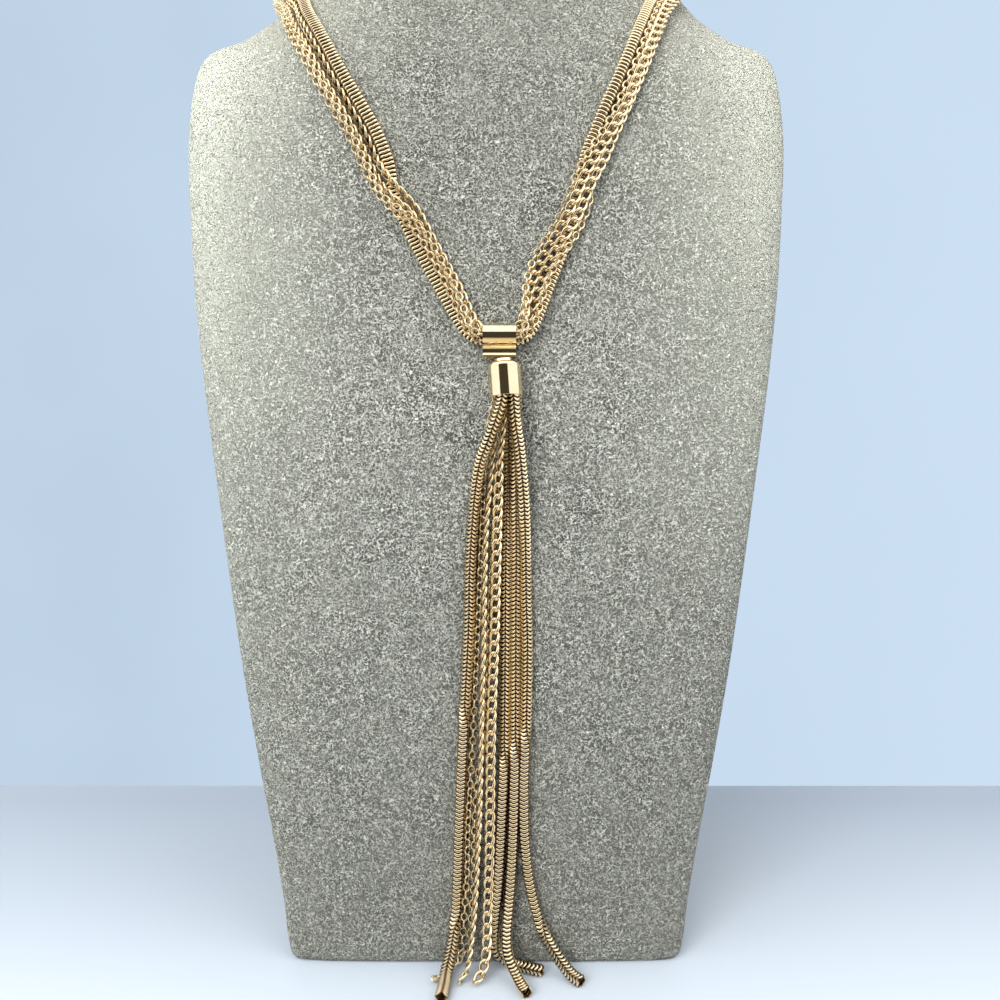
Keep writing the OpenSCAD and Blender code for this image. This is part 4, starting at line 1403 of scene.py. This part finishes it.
@dataclass
class SlideBail:
    """The loop of flat strip that the neck strands run through, on its hollowed foot."""

    width: float = BAIL_W
    bore_r: float = BAIL_BORE_R
    stretch: float = BAIL_STRETCH
    wall: float = BAIL_WALL
    foot_h: float = FOOT_H
    foot_d: float = FOOT_D
    foot_waist: float = FOOT_WAIST
    hollow_r: float = FOOT_HOLLOW_R
    edge_round: float = 0.16
    arc_steps: int = 20
    foot_steps: int = 8
    arc_gap: float = 2.0
    flat_share: float = 0.98

    def arc(self, side: int, r: float, low: float, high: float) -> list[Place]:
        """Lays out a round end in the side view.

        Args:
            side: 1 for the back and -1 for the front.
            r: its radius.
            low: the angle that it starts at, counted from the back upwards.
            high: the angle that it ends at.

        Returns:
            Its places.
        """
        found = []
        for k in range(self.arc_steps + 1):
            a = math.radians(low + (high - low) * k / self.arc_steps)
            found.append((side * self.stretch / 2 + r * math.cos(a), r * math.sin(a)))
        return found

    def foot(self) -> list[Place]:
        """Lays out the foot in the side view.

        Returns:
            Its outline, from its front at the top round to its back.
        """
        r = self.bore_r + self.wall
        at_y = self.foot_d / 2
        top = -math.sqrt(r * r - (at_y - self.stretch / 2) ** 2)
        middle = -r - self.foot_h / 2
        reach = self.foot_waist / 2 + self.hollow_r
        half_chord = math.sqrt(self.hollow_r ** 2 - (reach - at_y) ** 2)
        half = math.asin(min(half_chord / self.hollow_r, 1.0))
        hollow = []
        for k in range(self.foot_steps + 1):
            a = half - 2 * half * k / self.foot_steps
            y, z = self.hollow_r * math.cos(a), self.hollow_r * math.sin(a)
            hollow.append((y - reach, middle + z))
        front = [(-at_y, top), *hollow, (-at_y, -r - self.foot_h)]
        return front + [(-y, z) for y, z in reversed(front)]

    def outline(self, inner: bool) -> list[Place]:
        """Lays out the strip in the side view.

        Args:
            inner: whether the bore's outline is meant, and not the outer one.

        Returns:
            The outline, with as many places in both.
        """
        if inner:
            r = self.bore_r
            count = len(self.foot())
            flat = self.stretch * self.flat_share
            below = [(-flat / 2 + flat * k / (count - 1), -r) for k in range(count)]
            start = 90 - self.arc_gap
        else:
            r = self.bore_r + self.wall
            below = self.foot()
            at_foot = math.degrees(math.acos((self.foot_d / 2 - self.stretch / 2) / r))
            start = at_foot - self.arc_gap
        return self.arc(1, r, -start, 90) + self.arc(-1, r, 90, 180 + start) + below

    def build(self) -> Piece:
        """Builds the bail.

        Returns:
            The piece.
        """
        bm = bmesh.new()
        rings = []
        for side, inner in ((-1, False), (1, False), (1, True), (-1, True)):
            x = side * self.width / 2
            rings.append([Vector((x, y, z)) for y, z in self.outline(inner)])
        bridged(bm, rings, closed=True)
        bmesh.ops.recalc_face_normals(bm, faces=bm.faces)
        softened(bm, self.edge_round)
        return polished("bail_loop", bm, HANGER.on_chest(HANGER.bail_middle), "slide_bail")


@dataclass
class BarrelCap:
    """The cup that holds the tassel's strands, turned with a collar and a rounded shoulder."""

    radius: float = BARREL_R
    height: float = BARREL_H
    wall: float = BARREL_WALL
    top_wall: float = BARREL_TOP_WALL
    shoulder_r: float = BARREL_SHOULDER_R
    collar_r: float = COLLAR_R
    collar_h: float = COLLAR_H
    steps: int = 80
    shoulder_steps: int = 5
    lip_round: float = 0.14

    def profile(self) -> list[Place]:
        """Lays out the half section.

        Returns:
            Its places, from the collar's bore round the outside to the inside.
        """
        hole = PIN_R + SEAT_GAP + SWING_GAP
        floor_z = -(self.collar_h + self.top_wall)
        inner = self.radius - self.wall
        bottom = -(self.collar_h + self.height)
        shoulder = []
        for k in range(self.shoulder_steps + 1):
            a = math.pi / 2 * (1 - k / self.shoulder_steps)
            shoulder.append((
                self.radius - self.shoulder_r * (1 - math.cos(a)),
                -self.collar_h - self.shoulder_r * (1 - math.sin(a)),
            ))
        return [
            (hole, 0), (self.collar_r, 0), (self.collar_r, -self.collar_h), *shoulder,
            (self.radius, bottom), (inner, bottom), (inner, floor_z), (hole, floor_z),
        ]

    def build(self) -> Piece:
        """Returns the cap."""
        bm = turned(self.profile(), True, self.steps)
        softened(bm, self.lip_round)
        return polished("tassel_cap", bm, HANGER.barrel_matrix(), "barrel_cap")


@dataclass
class JoiningPin:
    """The pin between the bail's foot and the barrel, with its head inside the barrel."""

    radius: float = PIN_R
    head_r: float = PIN_HEAD_R
    head_h: float = PIN_HEAD_H
    steps: int = 32
    edge_round: float = 0.08
    seat_share: float = 0.6

    def build(self) -> Piece:
        """Builds the pin.

        Returns:
            The piece.
        """
        length = FOOT_H * self.seat_share + FOOT_GAP - HANGER.head_z
        head = ((0, 0), (self.head_r, 0), (self.head_r, self.head_h))
        shank = ((self.radius, self.head_h), (self.radius, length), (0, length))
        bm = turned(head + shank, False, self.steps)
        softened(bm, self.edge_round)
        place = HANGER.on_chest(HANGER.barrel_top) @ Matrix.Translation((0, 0, HANGER.head_z))
        return polished("joining_pin", bm, place, "link_pin")


@dataclass
class BoxClasp:
    """The plain closed clasp behind the neck."""

    length: float = CLASP_L
    height: float = CLASP_W
    thick: float = CLASP_T
    corner_r: float = CLASP_CORNER_R
    corner_steps: int = 6
    edge_round: float = 0.5
    edge_steps: int = 3

    def build(self) -> Piece:
        """Builds the clasp.

        Returns:
            The piece.
        """
        bm = bmesh.new()
        bmesh.ops.create_cube(bm, size=1)
        bmesh.ops.scale(bm, vec=Vector((self.length, self.thick, self.height)), verts=bm.verts)
        corners = [e for e in bm.edges if abs(unit(e.verts[1].co - e.verts[0].co).y) > 0.9]
        bevelled(bm, corners, self.corner_r, self.corner_steps)
        softened(bm, self.edge_round, self.edge_steps)
        middle_z = NAPE_Z + SNAKE_W - self.height / 2
        back = SKIN.back.straight(middle_z - self.height / 2) + SKIN_GAP
        place = Matrix.Translation((0, back + self.thick / 2, middle_z))
        return polished("neck_clasp", bm, place, "clasp")


def unseen(item: Piece, *rays: str) -> None:
    """Hides an object from kinds of rays, such as camera."""
    for kind in rays:
        setattr(item, "visible_" + kind, False)


@dataclass
class Studio:
    """The pale table, the surround, a glowing card of painted reflections, the soft lights and the
    camera, in metres.
    """

    eye: Row = (0.0044, -0.3807, 0.19165)
    tilt: float = 8.5
    lens: float = 41.616
    sensor: float = 36.0
    table_front: float = -0.42
    table_back: float = 0.085
    table_w: float = 2.4
    table_drop: float = 0.0002
    surround_r: float = 3.0
    surround_h: float = 7.0
    card_size: Place = (1.6, 0.36)
    card_middle: Row = (0, -0.28, 0.003)
    world_tint: Colour = (1, 0.85, 0.65)
    world_strength: float = 0.06

    def build(self) -> None:
        """Builds the studio."""
        self.table()
        self.surround()
        self.card()
        self.lights()
        self.world()
        self.camera()

    def staged(self, bm: Shape, name: str, look: Plain) -> Piece:
        """Puts a piece of the studio into the scene.

        Args:
            bm: its mesh in metres, which is freed.
            name: its name.
            look: its finish.

        Returns:
            The piece.
        """
        piece = placed(name, bm, look.material())
        return piece

    def panel(self, size: Place, middle: Row) -> Shape:
        """Makes a level rectangle.

        Args:
            size: its width and depth.
            middle: its middle.

        Returns:
            The mesh.
        """
        bm = bmesh.new()
        bmesh.ops.create_grid(bm, x_segments=1, y_segments=1, size=0.5)
        bmesh.ops.scale(bm, vec=Vector((*size, 1)), verts=bm.verts)
        bmesh.ops.translate(bm, vec=Vector(middle), verts=bm.verts)
        return bm

    def table(self) -> None:
        """Builds the white table, whose far edge lies behind the bust, painted darker towards the
        back as shade.
        """
        depth = self.table_back - self.table_front
        middle = (self.table_back + self.table_front) / 2
        # Painted shade: the table is painted darker towards the back.
        look = Plain("table_white", (0.50, 0.565, 0.65), (0.275, 0.33, 0.42), "Y", (-0.08, 0.07))
        bm = self.panel((self.table_w, depth), (0, middle, -self.table_drop))
        self.staged(bm, "table", look)

    def surround(self) -> None:
        """Builds the pale blue wall all round, which only the camera sees, glowing as painted
        light, fainter towards its left.
        """
        bm = bmesh.new()
        bmesh.ops.create_cone(
            bm, cap_ends=True, segments=64, radius1=self.surround_r, radius2=self.surround_r,
            depth=self.surround_h,
        )
        # Painted light: the wall glows with a set tone, fainter towards its left, instead of being
        # lit.
        look = Plain(
            "surround_blue", (0.62, 0.76, 0.92), (0.48, 0.60, 0.74), "X", (2.0, -2.0), glow=True
        )
        unseen(self.staged(bm, "surround", look), "diffuse", "glossy", "shadow")

    def card(self) -> None:
        """Builds the card under the camera that puts painted reflections into the polished metal.

        It glows brown near the camera and pale gold near the bust, as painted light with no lamp,
        and only metal sees it.
        """
        # Painted reflection: a glowing sheet, brown near the camera and pale gold near the bust.
        look = Plain(
            "card_brown", (0.02, 0.014, 0.008), (1.15, 0.98, 0.66), "Y", (-0.42, -0.22), glow=True
        )
        card = self.staged(self.panel(self.card_size, self.card_middle), "card", look)
        unseen(card, "camera", "diffuse", "shadow")

    def lamp(
        self, name: str, at: Row, aim: Row, size: Place, radiance: float, tint: Colour
    ) -> Piece:
        """Adds a soft light.

        Args:
            name: its name.
            at: where it is, in metres.
            aim: where it points.
            size: its width and height.
            radiance: how bright its face is.
            tint: its colour.

        Returns:
            The light.
        """
        data = bpy.data.lights.new(name, "AREA")
        data.shape = "RECTANGLE"
        data.size, data.size_y = size
        data.energy = radiance * math.pi * size[0] * size[1]
        data.color = tint
        lamp = bpy.data.objects.new(name, data)
        lamp.location = at
        lamp.rotation_mode = "QUATERNION"
        lamp.rotation_quaternion = (Vector(aim) - Vector(at)).to_track_quat("-Z", "Y")
        unseen(lamp, "camera")
        bpy.context.scene.collection.objects.link(lamp)
        return lamp

    def lights(self) -> None:
        """Adds the lights: one above, a tall one on each side of a dark gap, and one behind.

        A fill from the front lights the velvet, and the polished metal doesn't see it.
        """
        fill = self.lamp(
            "fill", (-0.6, -1.25, 0.75), (0, 0, 0.19), (0.8, 0.8), 12.5, (1, 0.995, 0.95)
        )
        unseen(fill, "glossy")
        for name, at, aim, size, radiance, tint in (
            ("top", (0, -0.30, 0.85), (0, -0.27, 0), (2.2, 1.4), 1.55, (1, 0.99, 0.96)),
            ("left", (-0.825, -0.20, 0.45), (0.168, -0.12, 0.45), (1.55, 1), 1.25, (0.98, 0.99, 1)),
            ("right", (0.675, -0.25, 0.45), (-0.277, -0.03, 0.45), (1.65, 1), 1.25,
             (1, 0.99, 0.97)),
            ("behind", (0, 1.3, 0.45), (0, 0, 0.30), (3.2, 2.0), 1.1, (0.92, 0.97, 1)),
        ):
            self.lamp(name, at, aim, size, radiance, tint)

    def world(self) -> None:
        """Sets a dark warm world."""
        world = bpy.data.worlds.new("studio")
        world.use_nodes = True
        shade = world.node_tree.nodes["Background"]
        shade.inputs["Color"].default_value = (*self.world_tint, 1)
        shade.inputs["Strength"].default_value = self.world_strength
        bpy.context.scene.world = world

    def camera(self) -> None:
        """Sets the camera where the photographer's stood."""
        data = bpy.data.cameras.new("camera")
        data.lens = self.lens
        data.sensor_width = self.sensor
        data.clip_start, data.clip_end = 0.01, 20
        camera = bpy.data.objects.new("camera", data)
        camera.location = self.eye
        camera.rotation_euler = (math.radians(90 - self.tilt), 0, 0)
        bpy.context.scene.collection.objects.link(camera)
        bpy.context.scene.camera = camera
        bpy.context.scene.view_settings.view_transform = "Standard"


def main() -> None:
    """Builds the necklace, its bust and the studio."""
    logging.basicConfig(level=logging.INFO, format="%(message)s")
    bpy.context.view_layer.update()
    VelvetBust().build()
    for fitting in (SlideBail(), BarrelCap(), JoiningPin(), BoxClasp()):
        fitting.build()
    NeckChains().build()
    TasselChains().build()
    Studio().build()


if __name__ == "__main__":
    main()
